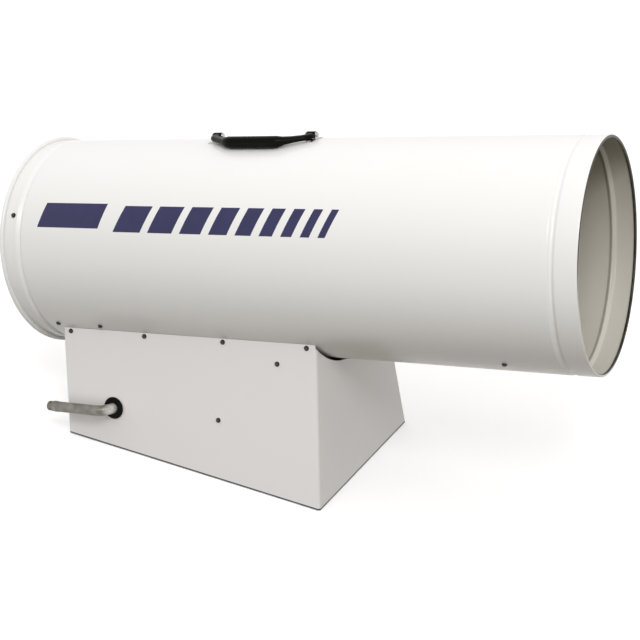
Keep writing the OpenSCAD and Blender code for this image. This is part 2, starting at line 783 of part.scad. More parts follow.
// Rail that carries the shell on a side wall: a hanging leg and a curved flange on the shell
module saddle_rail(wall_y, inset) {
    spread = atan(rail_leg / shell_r);
    leg = rail_leg + panel_top_drop;
    difference() {
        translate([base_start + inset, 0, 0]) along_x(base_len - 2 * inset) {
            difference() {
                translate([-top_half, top_z]) rotate(-wall_flare) translate([wall_y, -leg])
                    square([bracket_sheet, leg]);
                circle(r = shell_r + seat_gap + bracket_sheet / 2);
            }
            rotate(180 - seat_angle + spread / 2 + asin(2 * bracket_sheet / shell_r))
                ring_share(shell_r + seat_gap, shell_r + seat_gap + bracket_sheet, spread);
        }
        for (i = [0 : flange_screws - 1]) near_wall() out_of_wall(flange_place(i), flange_screw_drop)
            screw_hole(5 * sheet);
    }
}

module saddle_rail_near() color("silver") on_tube() saddle_rail(sheet, corner_r + sheet);

module saddle_rail_far() color("silver") on_tube() mirror([0, 1, 0]) saddle_rail(0, return_strip + sheet);

// One side's rounded block: full to the other side, its upright corners rounded at this side
module corner_block(inset) {
    r = corner_r - inset;
    length = base_len - 2 * inset;
    translate([base_start + inset, inset, -far_away]) linear_extrude(2 * far_away) {
        translate([r, 0]) square([length - 2 * r, far_away]);
        translate([0, r]) square([length, far_away - r]);
        for (x = [r, length - r]) translate([x, r]) circle(r = r);
    }
}

// The base's outer form with all four corners rounded, drawn in by an inset
module base_block(inset) intersection() {
    near_wall() corner_block(inset);
    far_wall() corner_block(inset);
}

// Cuts the base's form to its height: under the side walls' top edge and above the floor
module base_height(lift) {
    translate([-far_away, -far_away, top_z]) cube([3 * far_away, 2 * far_away, far_away]);
    below_floor(lift);
}

// Near side wall and both end walls from one bent sheet, with return strips at the far side
module base_wrapper() color("white") on_tube() difference() {
    base_block(0);
    base_block(sheet);
    base_height(floor_gap);
    translate([-overrun, 0, 0]) along_axis() cylinder(r = shell_r + 2 * seat_gap, h = shell_len);
    for (x = [base_start - overrun, base_end - sheet - overrun]) translate([x, 0, 0]) along_axis()
        cylinder(r = shell_r + end_gap, h = sheet + 2 * overrun);
    far_wall() translate([base_start + return_strip, -sheet, -far_away])
        cube([base_len - 2 * return_strip, 3 * sheet, 2 * far_away]);
    for (i = [0 : flange_screws - 1]) near_wall() out_of_wall(flange_place(i), flange_screw_drop)
        screw_hole(2 * sheet);
    for (p = [box_screw_a, box_screw_b]) near_wall() out_of_wall(p[0], -p[1]) screw_hole(2 * sheet);
    near_wall() translate([inlet_x, 0, -inlet_drop]) rotate([90, 0, 0])
        cylinder(r = grommet_hole_r + grommet_lip / 2, h = 4 * sheet, center = true);
    for (i = [0 : vent_count - 1])
        translate([base_start - overrun, -vent_w / 2, top_z - vent_drop - i * vent_pitch])
            cube([sheet + 2 * overrun, vent_w, vent_h]);
}

// Plain control panel laid over the far side's opening
module far_side_panel() color("white") on_tube() difference() {
    far_wall() translate([base_start + panel_inset, -sheet, -far_away])
        cube([base_len - 2 * panel_inset, sheet, far_away - panel_top_drop]);
    below_floor(floor_gap + panel_inset);
    far_wall() {
        for (i = [0 : flange_screws - 1]) out_of_wall(flange_place(i), flange_screw_drop)
            screw_hole(3 * sheet);
        translate([switch_x - switch_w / 2 - seat_gap, -3 * sheet, -control_drop - switch_h / 2 - seat_gap])
            cube([switch_w + 2 * seat_gap, 5 * sheet, switch_h + 2 * seat_gap]);
        out_of_wall(knob_x, control_drop) cylinder(r = stem_r * 1.6, h = 4 * sheet, center = true);
        out_of_wall(reset_x, control_drop)
            cylinder(r = button_r + sheet + screw_gap, h = 4 * sheet, center = true);
        out_of_wall(gland_x, gland_drop)
            cylinder(r = gland_dome_r * 0.8 + screw_gap, h = 4 * sheet, center = true);
    }
}

// Floor pan with an upturned lip inside the walls
module base_pan() color("gainsboro") on_tube() {
    difference() {
        base_block(0);
        base_height(0);
        above_floor(sheet);
    }
    difference() {
        base_block(sheet + seat_gap);
        base_block(2 * sheet + seat_gap);
        base_height(0);
        above_floor(pan_lip_h);
    }
}

// Everything above a height over the floor, in the tube frame
module above_floor(height) {
    rotate([0, shell_rise, 0]) translate([footprint_mid, 0, -axis_height])
        translate([-far_away, -far_away, height]) cube([2 * far_away, 2 * far_away, far_away]);
}

module near_flange_screws() color("dimgray") on_tube() near_wall() for (i = [0 : flange_screws - 1])
    out_of_wall(flange_place(i), flange_screw_drop) sheet_screw(sheet + bracket_sheet);

module far_flange_screws() color("dimgray") on_tube() far_wall() for (i = [0 : flange_screws - 1])
    translate([0, -sheet, 0]) out_of_wall(flange_place(i), flange_screw_drop)
        sheet_screw(sheet + bracket_sheet);

// Control box hung inside the near wall from two tabs on its corners
module control_box() color("#d8d8d8") on_tube() near_wall() difference() {
    size = [box_screw_b[0] - box_screw_a[0] - 2 * box_margin, box_depth,
        box_screw_b[1] - box_screw_a[1] - 2 * box_margin];
    union() {
        translate([box_screw_a[0] + box_margin, sheet, box_screw_a[1] + box_margin]) cube(size);
        for (p = [box_screw_a, box_screw_b]) translate([p[0] - box_tab, sheet, p[1] - box_tab])
            cube([2 * box_tab, box_tab_t, 2 * box_tab]);
    }
    for (p = [box_screw_a, box_screw_b]) out_of_wall(p[0], -p[1]) screw_hole(sheet + 4 * box_tab_t);
}

module control_box_screws() color("dimgray") on_tube() near_wall() for (p = [box_screw_a, box_screw_b])
    out_of_wall(p[0], -p[1]) sheet_screw(sheet + box_tab_t);

// Rubber grommet that grips the edge of the wall's hole
module inlet_grommet() color("#111111") on_tube() near_wall() out_of_wall(inlet_x, inlet_drop)
    translate([0, 0, -sheet]) rotate_extrude() difference() {
        union() {
            translate([inlet_r + seat_gap, -grommet_lip])
                square([grommet_r - inlet_r - seat_gap - grommet_lip / 2, 2 * grommet_lip + sheet]);
            translate([grommet_r - grommet_lip / 2, sheet + grommet_lip / 2]) circle(r = grommet_lip / 2);
            translate([grommet_r - grommet_lip / 2, -grommet_lip / 2]) circle(r = grommet_lip / 2);
        }
        translate([grommet_hole_r + grommet_lip / 2 - seat_gap, -seat_gap / 2])
            square([grommet_r, sheet + seat_gap]);
    }

// Bent steel pipe: in through the grommet, round a right angle and back along the wall
module inlet_pipe_solid(r, extra) near_wall() translate([inlet_x, 0, -inlet_drop]) {
    inside = valve_in - valve_w / 2 - valve_boss_len;
    translate([0, inside + extra, 0]) rotate([90, 0, 0])
        cylinder(r = r, h = inside + extra + inlet_stand - inlet_bend_r);
    translate([0, -inlet_stand + inlet_bend_r, 0]) rotate([90, 0, 0]) mirror([1, 0, 0])
        pipe_bend(r, inlet_bend_r);
    translate([inlet_end_x - inlet_x - extra, -inlet_stand, 0]) along_axis()
        cylinder(r = r, h = inlet_x - inlet_end_x - inlet_bend_r + extra);
}

module inlet_pipe() color("#8d8d88") on_tube() difference() {
    inlet_pipe_solid(inlet_r, 0);
    inlet_pipe_solid(inlet_bore_r, overrun);
}

// Male connector for the gas hose, on the free end of the inlet pipe
module inlet_connector() color("#8d8d88") on_tube() near_wall()
    translate([inlet_end_x, -inlet_stand, -inlet_drop]) rotate([0, -90, 0]) difference() {
        union() {
            cylinder(r = connector_hex_r, h = connector_hex_len, $fn = 6);
            cylinder(r = connector_r, h = connector_len);
            translate([0, 0, connector_len])
                cylinder(r1 = connector_r, r2 = connector_r * 0.7, h = connector_r * 0.3);
        }
        translate([0, 0, -overrun]) cylinder(r = connector_r * 0.5, h = connector_len + connector_r);
    }

// Valve body with an inlet boss to the near side and an outlet boss to the front
module valve_place() on_tube() near_wall() translate([inlet_x, valve_in, -inlet_drop]) children();

module gas_valve() color("#b5b7ba") valve_place() difference() {
    union() {
        translate([-valve_len / 2 + valve_boss_len, -valve_w / 2, -valve_h / 2])
            cube([valve_len - 2 * valve_boss_len, valve_w, valve_h]);
        rotate([90, 0, 0]) translate([0, 0, valve_w / 2 - overrun])
            cylinder(r = valve_boss_r, h = valve_boss_len + overrun);
        along_axis() translate([0, 0, -valve_len / 2]) cylinder(r = valve_boss_r, h = valve_len);
    }
    rotate([90, 0, 0]) translate([0, 0, valve_w / 2 - valve_boss_len])
        cylinder(r = inlet_bore_r, h = 3 * valve_boss_len);
    along_axis() translate([0, 0, valve_len / 2 - 2 * valve_boss_len])
        cylinder(r = riser_r - riser_wall, h = 3 * valve_boss_len);
}

// Two solenoid coils that stand on the valve
module valve_coils() color("#20242a") valve_place() translate([0, 0, valve_h / 2])
    for (s = [-1, 1]) translate([0, s * coil_spread / 2, 0]) {
        cylinder(r = coil_r, h = coil_h);
        cylinder(r = coil_r * 0.35, h = coil_h * 1.15);
    }

// Channel that carries the valve on the pan
module valve_bracket() color("silver") difference() {
    valve_place() {
        leg_len = 2 * valve_h;
        translate([-valve_bracket_w / 2, -valve_w / 2, -valve_h / 2 - bracket_sheet])
            cube([valve_bracket_w, valve_w, bracket_sheet]);
        for (s = [-1, 1]) translate([0, s * (valve_w - bracket_sheet) / 2, -valve_h / 2 - leg_len])
            translate([-valve_bracket_w / 2, -bracket_sheet / 2, 0])
            cube([valve_bracket_w, bracket_sheet, leg_len]);
    }
    on_tube() below_floor(sheet);
}

// Puts a shape on the pan, at a place along the floor from the origin
module on_pan(place) translate([place[0], place[1], sheet + running_gap]) children();

// Open-frame transformer on the pan
module transformer() color("#5b5f63") on_pan(transformer_place) {
    size = transformer_size;
    foot_t = bracket_sheet;
    translate([-size[0] / 2, -size[1] / 2, 0]) cube([size[0], size[1], foot_t]);
    translate([-size[0] * 0.35, -size[1] * 0.3, foot_t])
        cube([size[0] * 0.7, size[1] * 0.6, size[2] - foot_t]);
    translate([-size[0] * 0.2, -size[1] * 0.5, size[2] * 0.2])
        cube([size[0] * 0.4, size[1], size[2] * 0.6]);
}

// Terminal block with barriers between its clamps
module terminal_block() color("#1d1d1d") on_pan(block_place) difference() {
    ways = 6;
    pitch = block_size[0] / ways;
    translate([-block_size[0] / 2, -block_size[1] / 2, 0]) cube(block_size);
    for (i = [0 : ways - 1], s = [-1, 1]) translate([(i - (ways - 1) / 2) * pitch - pitch * 0.35,
        s * block_size[1] * 0.35 - block_size[1] * 0.15 - (s < 0 ? overrun : 0), block_size[2] * 0.5])
        cube([pitch * 0.7, block_size[1] * 0.3 + overrun, block_size[2]]);
}

// Cable gland without its cord
module cord_gland() color("#151515") on_tube() far_wall() translate([0, -sheet, 0])
    out_of_wall(gland_x, gland_drop) difference() {
        union() {
            cylinder(r = gland_hex_r, h = gland_hex_h, $fn = 6);
            cylinder(r = gland_dome_r, h = gland_len * 0.7);
            translate([0, 0, gland_len * 0.7])
                cylinder(r1 = gland_dome_r, r2 = gland_dome_r * 0.7, h = gland_len * 0.3);
            translate([0, 0, -sheet - gland_nut_h])
                cylinder(r = gland_dome_r * 0.8, h = sheet + gland_nut_h + overrun);
            translate([0, 0, -sheet - gland_nut_h]) cylinder(r = gland_nut_r, h = gland_nut_h, $fn = 6);
        }
        translate([0, 0, -2 * gland_len]) cylinder(r = gland_bore_r, h = 4 * gland_len);
    }

// Thermostat behind the panel
module thermostat_body() color("#303236") on_tube() far_wall() difference() {
    size = thermostat_size;
    translate([knob_x - size[0] / 2, 0, -control_drop - size[2] / 2]) cube(size);
    out_of_wall(knob_x, control_drop) translate([0, 0, -size[1] * 0.6])
        cylinder(r = stem_r + running_gap, h = size[1]);
}

// Thermostat knob with a finger bar, on its stem
module thermostat_knob() color("#1a1a1a") on_tube() far_wall() out_of_wall(knob_x, control_drop) {
    seat = sheet + knob_gap;
    stem_start = -thermostat_size[1] * 0.6 + seat_gap;
    translate([0, 0, stem_start]) cylinder(r = stem_r, h = seat + seat_gap - stem_start);
    difference() {
        union() {
            translate([0, 0, seat]) cylinder(r = knob_r, h = knob_h * 0.3);
            translate([0, 0, seat + knob_h * 0.3])
                cylinder(r1 = knob_r * 0.9, r2 = knob_r * 0.82, h = knob_h * 0.7);
        }
        for (s = [-1, 1]) translate([s * knob_r * 0.68 - knob_r * 0.4, -knob_r, seat + knob_h * 0.45])
            cube([knob_r * 0.8, 2 * knob_r, knob_h]);
    }
}

// Frame of the power switch: a bezel in front of the panel and a body behind it
module switch_housing() color("#151515") on_tube() far_wall() difference() {
    outer = [switch_w + 2 * switch_bezel, bezel_t, switch_h + 2 * switch_bezel];
    union() {
        translate([switch_x - outer[0] / 2, -sheet - bezel_t, -control_drop - outer[2] / 2]) cube(outer);
        translate([switch_x - switch_w / 2, -sheet - overrun, -control_drop - switch_h / 2])
            cube([switch_w, switch_depth + sheet, switch_h]);
    }
    translate([switch_x - switch_w / 2 + bezel_t, -far_away, -control_drop - switch_h / 2 + bezel_t])
        cube([switch_w - 2 * bezel_t, far_away + switch_depth / 2, switch_h - 2 * bezel_t]);
    translate([switch_x, 0, -control_drop]) along_axis()
        cylinder(r = rocker_pin_r + running_gap, h = switch_w, center = true);
}

// Rocker on its pin, pressed at its upper end
module switch_rocker() color("#8f1414") on_tube() far_wall() translate([switch_x, 0, -control_drop]) {
    half = switch_h / 2 - bezel_t - rocker_gap;
    width = switch_w - 2 * bezel_t - 2 * rocker_gap;
    reach = half * tan(rocker_tilt);
    face = -sheet - bezel_t - rocker_proud;
    translate([-width / 2, 0, 0]) along_x(width) polygon([[0, -half], [face, -half * 0.96],
        [face + reach * 0.96, 0], [face + 2 * reach * 0.96, half * 0.96],
        [0, half * 0.9], [rocker_pin_r * 2, 0]]);
    along_axis() cylinder(r = rocker_pin_r, h = switch_w - bezel_t, center = true);
}

// Threaded barrel and nut of the reset button
module reset_housing() color("#2a2a2a") on_tube() far_wall() out_of_wall(reset_x, control_drop) difference() {
    union() {
        translate([0, 0, sheet]) cylinder(r = reset_nut_r, h = reset_nut_h, $fn = 6);
        translate([0, 0, -reset_depth]) cylinder(r = button_r + sheet, h = reset_depth + sheet + reset_nut_h);
        translate([0, 0, -reset_depth]) cylinder(r = reset_nut_r, h = reset_depth);
    }
    translate([0, 0, -reset_depth * 0.5]) cylinder(r = button_r + running_gap, h = reset_depth + reset_nut_h);
}

module reset_button() color("#b01818") on_tube() far_wall() out_of_wall(reset_x, control_drop) {
    start = -reset_depth * 0.5 + button_travel + 2 * seat_gap;
    top = sheet + reset_nut_h + button_h;
    translate([0, 0, start]) cylinder(r = button_r, h = top - start - button_r * 0.15);
    translate([0, 0, top - button_r * 0.15])
        cylinder(r1 = button_r, r2 = button_r * 0.85, h = button_r * 0.15);
}

// Disc thermostat clipped under the shell, inside the base
module high_limit_switch() color("#caa24a") on_tube() at_shell(limit_x, 180)
    translate([0, 0, shell_r + seat_gap]) {
        translate([-limit_flange[0] / 2, -limit_flange[1] / 2, 0]) cube(limit_flange);
        cylinder(r = limit_r, h = limit_h);
        for (s = [-1, 1]) translate([s * limit_r / 2, 0, limit_h])
            cube([bracket_sheet, limit_r, limit_r], center = true);
    }

// Place of a bracket's rivet: one each side of the eye, at both ends of the handle
module handle_rivet_place(end, side)
    at_shell(handle_x + end * handle_span / 2, side * asin(bracket_foot / shell_r))
        translate([0, 0, shell_r + ear_t + seat_gap]) children();

// Clevis brackets on the crown of the shell, one at each end of the handle
module handle_brackets() color("silver") on_tube() for (end = [-1, 1]) difference() {
    half = eye_w / 2 + ear_gap;
    translate([handle_x + end * handle_span / 2, 0, 0]) {
        arc_strip(shell_r + seat_gap, shell_r + seat_gap + ear_t, 2 * half + 2 * ear_t, bracket_spread_angle);
        for (s = [-1, 1]) translate([s * (half + ear_t / 2) - ear_t / 2, 0, 0]) difference() {
            union() {
                translate([0, -ear_r, shell_r + seat_gap + ear_t / 2])
                    cube([ear_t, 2 * ear_r, pivot_h - seat_gap - ear_t / 2]);
                translate([0, 0, pivot_r]) along_axis() cylinder(r = ear_r, h = ear_t);
            }
            translate([-ear_t, 0, pivot_r]) along_axis()
                cylinder(r = handle_pin_r + running_gap, h = 3 * ear_t);
        }
    }
    for (side = [-1, 1]) handle_rivet_place(end, side) screw_hole(2 * ear_t);
}

module handle_rivets() color("silver") on_tube() for (end = [-1, 1], side = [-1, 1])
    handle_rivet_place(end, side) {
        cylinder(r = handle_rivet_r, h = washer_t);
        translate([0, 0, -ear_t - shell_wall - 2 * seat_gap])
            cylinder(r = screw_r, h = ear_t + shell_wall + 2 * seat_gap);
    }

// Pins with a round head at each end
module handle_pins() color("silver") on_tube() for (end = [-1, 1])
    translate([handle_x + end * handle_span / 2, 0, pivot_r]) along_axis() {
        half = eye_w / 2 + ear_gap + ear_t;
        translate([0, 0, -half - seat_gap]) cylinder(r = handle_pin_r, h = 2 * half + 2 * seat_gap);
        for (s = [0, 1]) mirror([0, 0, s]) translate([0, 0, half + seat_gap]) {
            cylinder(r = pin_head_r, h = pin_head_h * 0.6);
            translate([0, 0, pin_head_h * 0.6])
                cylinder(r1 = pin_head_r, r2 = pin_head_r * 0.7, h = pin_head_h * 0.4);
        }
    }

// Outline of the grip from its axis outwards, with a round end at both sides
module grip_profile() intersection() {
    union() {
        translate([0, -grip_len / 2]) square([grip_r, grip_len]);
        for (s = [-1, 1]) translate([0, s * grip_len / 2]) circle(r = grip_r);
    }
    translate([0, -grip_len]) square([grip_r + overrun, 2 * grip_len]);
}

// Flat tab between the eye and the arm, rounded where the arm leaves it
module handle_tab() translate([0, 0, -tab_t / 2]) linear_extrude(tab_t) {
    translate([-eye_w / 2, -tab_len]) square([eye_w, tab_len]);
    translate([0, -tab_len]) circle(r = eye_w / 2);
}

// Moulded carrying handle: two eye tabs, two slanting arms and a thick grip, folded to the inlet side
module handle_bail() color("#161616") on_tube() translate([handle_x, 0, pivot_r])
    rotate([handle_drop, 0, 0]) difference() {
        arm_run = [(handle_span - grip_len) / 2, handle_arm - tab_len];
        union() {
            translate([0, -handle_arm, 0]) along_axis() rotate_extrude() grip_profile();
            for (s = [0, 1]) mirror([s, 0, 0]) {
                translate([grip_len / 2, -handle_arm, 0]) rotate([0, 0, atan2(arm_run[1], arm_run[0])])
                    along_axis() cylinder(r1 = arm_thick_r, r2 = arm_thin_r, h = norm(arm_run));
                translate([handle_span / 2, 0, 0]) handle_tab();
                translate([(handle_span - eye_w) / 2, 0, 0]) along_axis() cylinder(r = eye_r, h = eye_w);
            }
        }
        for (s = [-1, 1]) translate([s * handle_span / 2, 0, 0]) along_axis()
            cylinder(r = handle_pin_r + running_gap, h = 2 * eye_w, center = true);
    }

heat_shell();
combustion_liner();
liner_brackets();
liner_screws();
fan_guard();
guard_screws();
motor_mount();
motor_mount_screws();
motor_straps();
motor_shell();
motor_front_bell();
motor_rear_bell();
motor_bearings();
motor_stator();
motor_rotor();
motor_shaft();
fan_spider();
fan_blades();
fan_rivets();
burner_plate();
burner_cup();
gas_orifice();
gas_riser();
igniter();
flame_sensor();
air_switch();
air_paddle();
saddle_rail_near();
saddle_rail_far();
base_wrapper();
far_side_panel();
base_pan();
near_flange_screws();
far_flange_screws();
control_box();
control_box_screws();
inlet_grommet();
inlet_pipe();
inlet_connector();
gas_valve();
valve_coils();
valve_bracket();
transformer();
terminal_block();
cord_gland();
thermostat_body();
thermostat_knob();
switch_housing();
switch_rocker();
reset_housing();
reset_button();
high_limit_switch();
handle_brackets();
handle_rivets();
handle_pins();
handle_bail();
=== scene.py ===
import json
import math

import bmesh
import bpy
import numpy as np
from mathutils import Matrix, Vector


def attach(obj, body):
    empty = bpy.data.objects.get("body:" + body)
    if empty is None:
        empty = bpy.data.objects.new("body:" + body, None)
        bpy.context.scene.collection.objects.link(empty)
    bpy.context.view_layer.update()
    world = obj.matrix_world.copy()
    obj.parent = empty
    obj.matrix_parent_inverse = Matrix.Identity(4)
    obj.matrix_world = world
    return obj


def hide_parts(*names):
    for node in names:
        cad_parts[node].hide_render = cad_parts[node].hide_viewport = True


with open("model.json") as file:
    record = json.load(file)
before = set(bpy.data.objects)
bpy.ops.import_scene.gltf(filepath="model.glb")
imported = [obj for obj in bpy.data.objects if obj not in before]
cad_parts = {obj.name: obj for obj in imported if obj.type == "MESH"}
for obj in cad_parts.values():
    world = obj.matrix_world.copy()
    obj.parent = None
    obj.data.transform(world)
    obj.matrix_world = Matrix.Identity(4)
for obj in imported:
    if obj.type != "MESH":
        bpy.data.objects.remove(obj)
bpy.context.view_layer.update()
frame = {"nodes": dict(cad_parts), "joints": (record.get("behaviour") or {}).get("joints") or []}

# viewpoint
# The heater is seen from its inlet side, a little from the outlet's end and from above. The lens and the
# place were solved from the outlines of the shell and the base.
turn, dip, roll = math.radians(25.04), math.radians(22.76), math.radians(2.65)
looking = Vector((-math.sin(turn) * math.cos(dip), math.cos(turn) * math.cos(dip), -math.sin(dip)))
level = Vector((math.cos(turn), math.sin(turn), 0.0))
upright = level.cross(looking)
across = math.cos(roll) * level + math.sin(roll) * upright
upwards = math.cos(roll) * upright - math.sin(roll) * level
viewer_at = (1.1351, -2.0494, 1.2390)
viewer = bpy.data.objects.new("viewer", bpy.data.cameras.new("viewer"))
viewer.data.sensor_width = 36.0
viewer.data.lens = 69.80
viewer.data.clip_end = 60.0
aim = Matrix((across, upwards, -looking)).transposed().to_4x4()
viewer.matrix_world = Matrix.Translation(viewer_at) @ aim
bpy.context.scene.collection.objects.link(viewer)
bpy.context.scene.camera = viewer


# room
# A plain pale studio: a wide matt floor under an even white sky, as for a catalogue picture. The floor
# gives little light back, so the shell's underside falls off in tone, and a brown card out of view at the
# outlet's end keeps light off the front wall.
def wire(tree, start, end):
    """Joins two sockets of a node tree."""
    tree.links.new(start, end)


def add(tree, kind, **values):
    """Adds a shader node and sets its sockets by name."""
    made = tree.nodes.new("ShaderNode" + kind)
    for key, value in values.items():
        made.inputs[key].default_value = value
    return made


def studio_sheet(name, corners, paint):
    """One four-sided sheet of the studio, which is no part of the heater."""
    mesh = bpy.data.meshes.new(name)
    mesh.from_pydata(corners, [], [(0, 1, 2, 3)])
    mesh.materials.append(paint)
    sheet = bpy.data.objects.new(name, mesh)
    bpy.context.scene.collection.objects.link(sheet)
    return sheet


floor_paint = bpy.data.materials.new("floor_paint")
floor_paint.use_nodes = True
tree = floor_paint.node_tree
tree.nodes.clear()
matt = add(tree, "BsdfDiffuse", Color=(0.115, 0.096, 0.067, 1))
shown = add(tree, "BsdfDiffuse", Color=(0.90, 0.90, 0.90, 1))
glow = add(tree, "Emission", Color=(1, 1, 1, 1), Strength=0.30)
lit = add(tree, "AddShader")
rays = add(tree, "LightPath")
seen = add(tree, "Math")
seen.operation = "MAXIMUM"
pick = add(tree, "MixShader")
out = add(tree, "OutputMaterial")
wire(tree, shown.outputs[0], lit.inputs[0])
wire(tree, glow.outputs[0], lit.inputs[1])
wire(tree, rays.outputs["Is Camera Ray"], seen.inputs[0])
wire(tree, rays.outputs["Is Glossy Ray"], seen.inputs[1])
wire(tree, seen.outputs[0], pick.inputs[0])
wire(tree, matt.outputs[0], pick.inputs[1])
wire(tree, lit.outputs[0], pick.inputs[2])
wire(tree, pick.outputs[0], out.inputs["Surface"])
reach = 30.0
floor = studio_sheet("floor", [(-reach, -reach, 0), (reach, -reach, 0), (reach, reach, 0),
                               (-reach, reach, 0)], floor_paint)

sky = bpy.data.worlds.new("sky")
sky.use_nodes = True
bpy.context.scene.world = sky
tree = sky.node_tree
tree.nodes.clear()
even = add(tree, "Background", Color=(1.0, 0.995, 0.985, 1), Strength=0.925)
white = add(tree, "Background", Color=(1, 1, 1, 1), Strength=1.0)
rays = add(tree, "LightPath")
pick = add(tree, "MixShader")
out = add(tree, "OutputWorld")
wire(tree, rays.outputs["Is Camera Ray"], pick.inputs[0])
wire(tree, even.outputs[0], pick.inputs[1])
wire(tree, white.outputs[0], pick.inputs[2])
wire(tree, pick.outputs[0], out.inputs["Surface"])

lamp = bpy.data.objects.new("softbox", bpy.data.lights.new("softbox", "AREA"))
lamp.data.shape = "RECTANGLE"
lamp.data.size = 1.2
lamp.data.size_y = 1.0
lamp.data.energy = 40.0
lamp_at, lamp_aim = Vector((1.4, -2.5, 2.9)), Vector((0.1, 0, 0.45))
lamp_turn = (lamp_aim - lamp_at).to_track_quat("-Z", "Y").to_matrix().to_4x4()
lamp.matrix_world = Matrix.Translation(lamp_at) @ lamp_turn
bpy.context.scene.collection.objects.link(lamp)

card_paint = bpy.data.materials.new("card_paint")
card_paint.use_nodes = True
brown = card_paint.node_tree.nodes["Principled BSDF"]
brown.inputs["Base Color"].default_value = (0.20, 0.15, 0.09, 1)
brown.inputs["Roughness"].default_value = 0.9
card_x, card_y, card_z = 2.4, (-1.2, 1.8), (0.55, 1.5)
card = studio_sheet("card", [(card_x, card_y[0], card_z[0]), (card_x, card_y[1], card_z[0]),
                             (card_x, card_y[1], card_z[1]), (card_x, card_y[0], card_z[1])], card_paint)
card.visible_camera = False

bpy.context.scene.view_settings.view_transform = "Standard"

# enamelled shell
# The heat shell is rolled from steel sheet and coated with white baked enamel. Its beads are rolled in,
# its rear edge is curled over a wire and the outlet's edge is hemmed. The enamel is smooth, with a faint
# orange peel. Inside, the enamel is painted a darker, warmer tone, and darker still on its upper side
# towards the outlet: painted shade.
mm = 0.001


class Finish:
    """One Principled shader with small helpers that add the nodes of a finish to it."""

    def __init__(self, name, colour, roughness, metallic=0.0):
        self.material = bpy.data.materials.new(name)
        self.material.use_nodes = True
        self.tree = self.material.node_tree
        self.shader = self.tree.nodes["Principled BSDF"]
        self.shader.inputs["Base Color"].default_value = (*colour, 1)
        self.shader.inputs["Roughness"].default_value = roughness
        self.shader.inputs["Metallic"].default_value = metallic
        self.place = self.tree.nodes.new("ShaderNodeTexCoord").outputs["Object"]
        self.height = None

    def node(self, kind, **values):
        """Adds a node and sets its properties by name."""
        made = self.tree.nodes.new("ShaderNode" + kind)
        for key, value in values.items():
            setattr(made, key, value)
        return made

    def along(self, direction):
        """The place on the piece measured along a direction, in metres times its length."""
        made = self.node("VectorMath", operation="DOT_PRODUCT")
        made.inputs[1].default_value = tuple(direction)
        wire(self.tree, self.place, made.inputs[0])
        return made.outputs["Value"]

    def squeezed(self, turn, scale):
        """The place on the piece, turned and then stretched, for grain that runs one way."""
        first = self.node("Mapping")
        first.inputs["Rotation"].default_value = turn
        wire(self.tree, self.place, first.inputs["Vector"])
        then = self.node("Mapping")
        then.inputs["Scale"].default_value = scale
        wire(self.tree, first.outputs[0], then.inputs["Vector"])
        return then.outputs[0]

    def noise(self, per_metre, detail, place=None):
        """Smooth noise with so many lumps in a metre, from 0 to 1."""
        made = self.node("TexNoise")
        made.inputs["Scale"].default_value = per_metre
        made.inputs["Detail"].default_value = detail
        wire(self.tree, place or self.place, made.inputs["Vector"])
        return made.outputs["Fac"]

    def cells(self, per_metre, output):
        """Crystal cells with so many in a metre: their Distance, or one Color for each."""
        made = self.node("TexVoronoi")
        made.inputs["Scale"].default_value = per_metre
        wire(self.tree, self.place, made.inputs["Vector"])
        return made.outputs[output]

    def between(self, factor, low, high, start=0.3, stop=0.7):
        """Turns a factor into a number between low and high."""
        made = self.node("MapRange")
        for key, value in zip(("From Min", "From Max", "To Min", "To Max"), (start, stop, low, high)):
            made.inputs[key].default_value = value
        wire(self.tree, factor, made.inputs["Value"])
        return made.outputs["Result"]

    def blend(self, factor, first, second, start=0.3, stop=0.7):
        """Turns a factor into a colour between two."""
        made = self.node("ValToRGB")
        made.color_ramp.elements[0].position = start
        made.color_ramp.elements[0].color = (*first, 1)
        made.color_ramp.elements[1].position = stop
        made.color_ramp.elements[1].color = (*second, 1)
        wire(self.tree, factor, made.inputs["Fac"])
        return made.outputs["Color"]

    def colour(self, socket):
        """Takes the colour from a socket."""
        wire(self.tree, socket, self.shader.inputs["Base Color"])

    def overlaid(self, share, colour, mode="MIX"):
        """Lays one more colour over the colour that is there, by a share from 0 to 1."""
        made = self.node("Mix", data_type="RGBA", blend_type=mode)
        wire(self.tree, share, made.inputs["Factor"])
        wire(self.tree, self.shader.inputs["Base Color"].links[0].from_socket, made.inputs["A"])
        made.inputs["B"].default_value = (*colour, 1)
        self.colour(made.outputs["Result"])

    def roughness(self, socket):
        """Takes the roughness from a socket."""
        wire(self.tree, socket, self.shader.inputs["Roughness"])

    def relief(self, socket, depth, strength):
        """Adds a bump of a depth in metres on top of those already there."""
        made = self.node("Bump")
        made.inputs["Distance"].default_value = depth
        made.inputs["Strength"].default_value = strength
        wire(self.tree, socket, made.inputs["Height"])
        if self.height:
            wire(self.tree, self.height, made.inputs["Normal"])
        self.height = made.outputs["Normal"]
        wire(self.tree, self.height, self.shader.inputs["Normal"])

    def on(self, *names):
        """Puts the finish on CAD nodes, in every slot of each."""
        for name in names:
            mesh = frame["nodes"][name].data
            mesh.materials.clear()
            mesh.materials.append(self.material)
            mesh.polygons.foreach_set("material_index", np.zeros(len(mesh.polygons), np.int32))


def worn(name, colour, roughness, metallic=0.0, *, tones, skin, gloss=None):
    """A finish in two close tones with a fine skin. tones, gloss and skin each start with the lumps in a
    metre and the detail of a noise. Then come two colours, two roughnesses, or a depth and a strength."""
    made = Finish(name, colour, roughness, metallic)
    made.colour(made.blend(made.noise(*tones[:2]), *tones[2:]))
    if gloss:
        made.roughness(made.between(made.noise(*gloss[:2]), *gloss[2:]))
    made.relief(made.noise(*skin[:2]), *skin[2:])
    return made


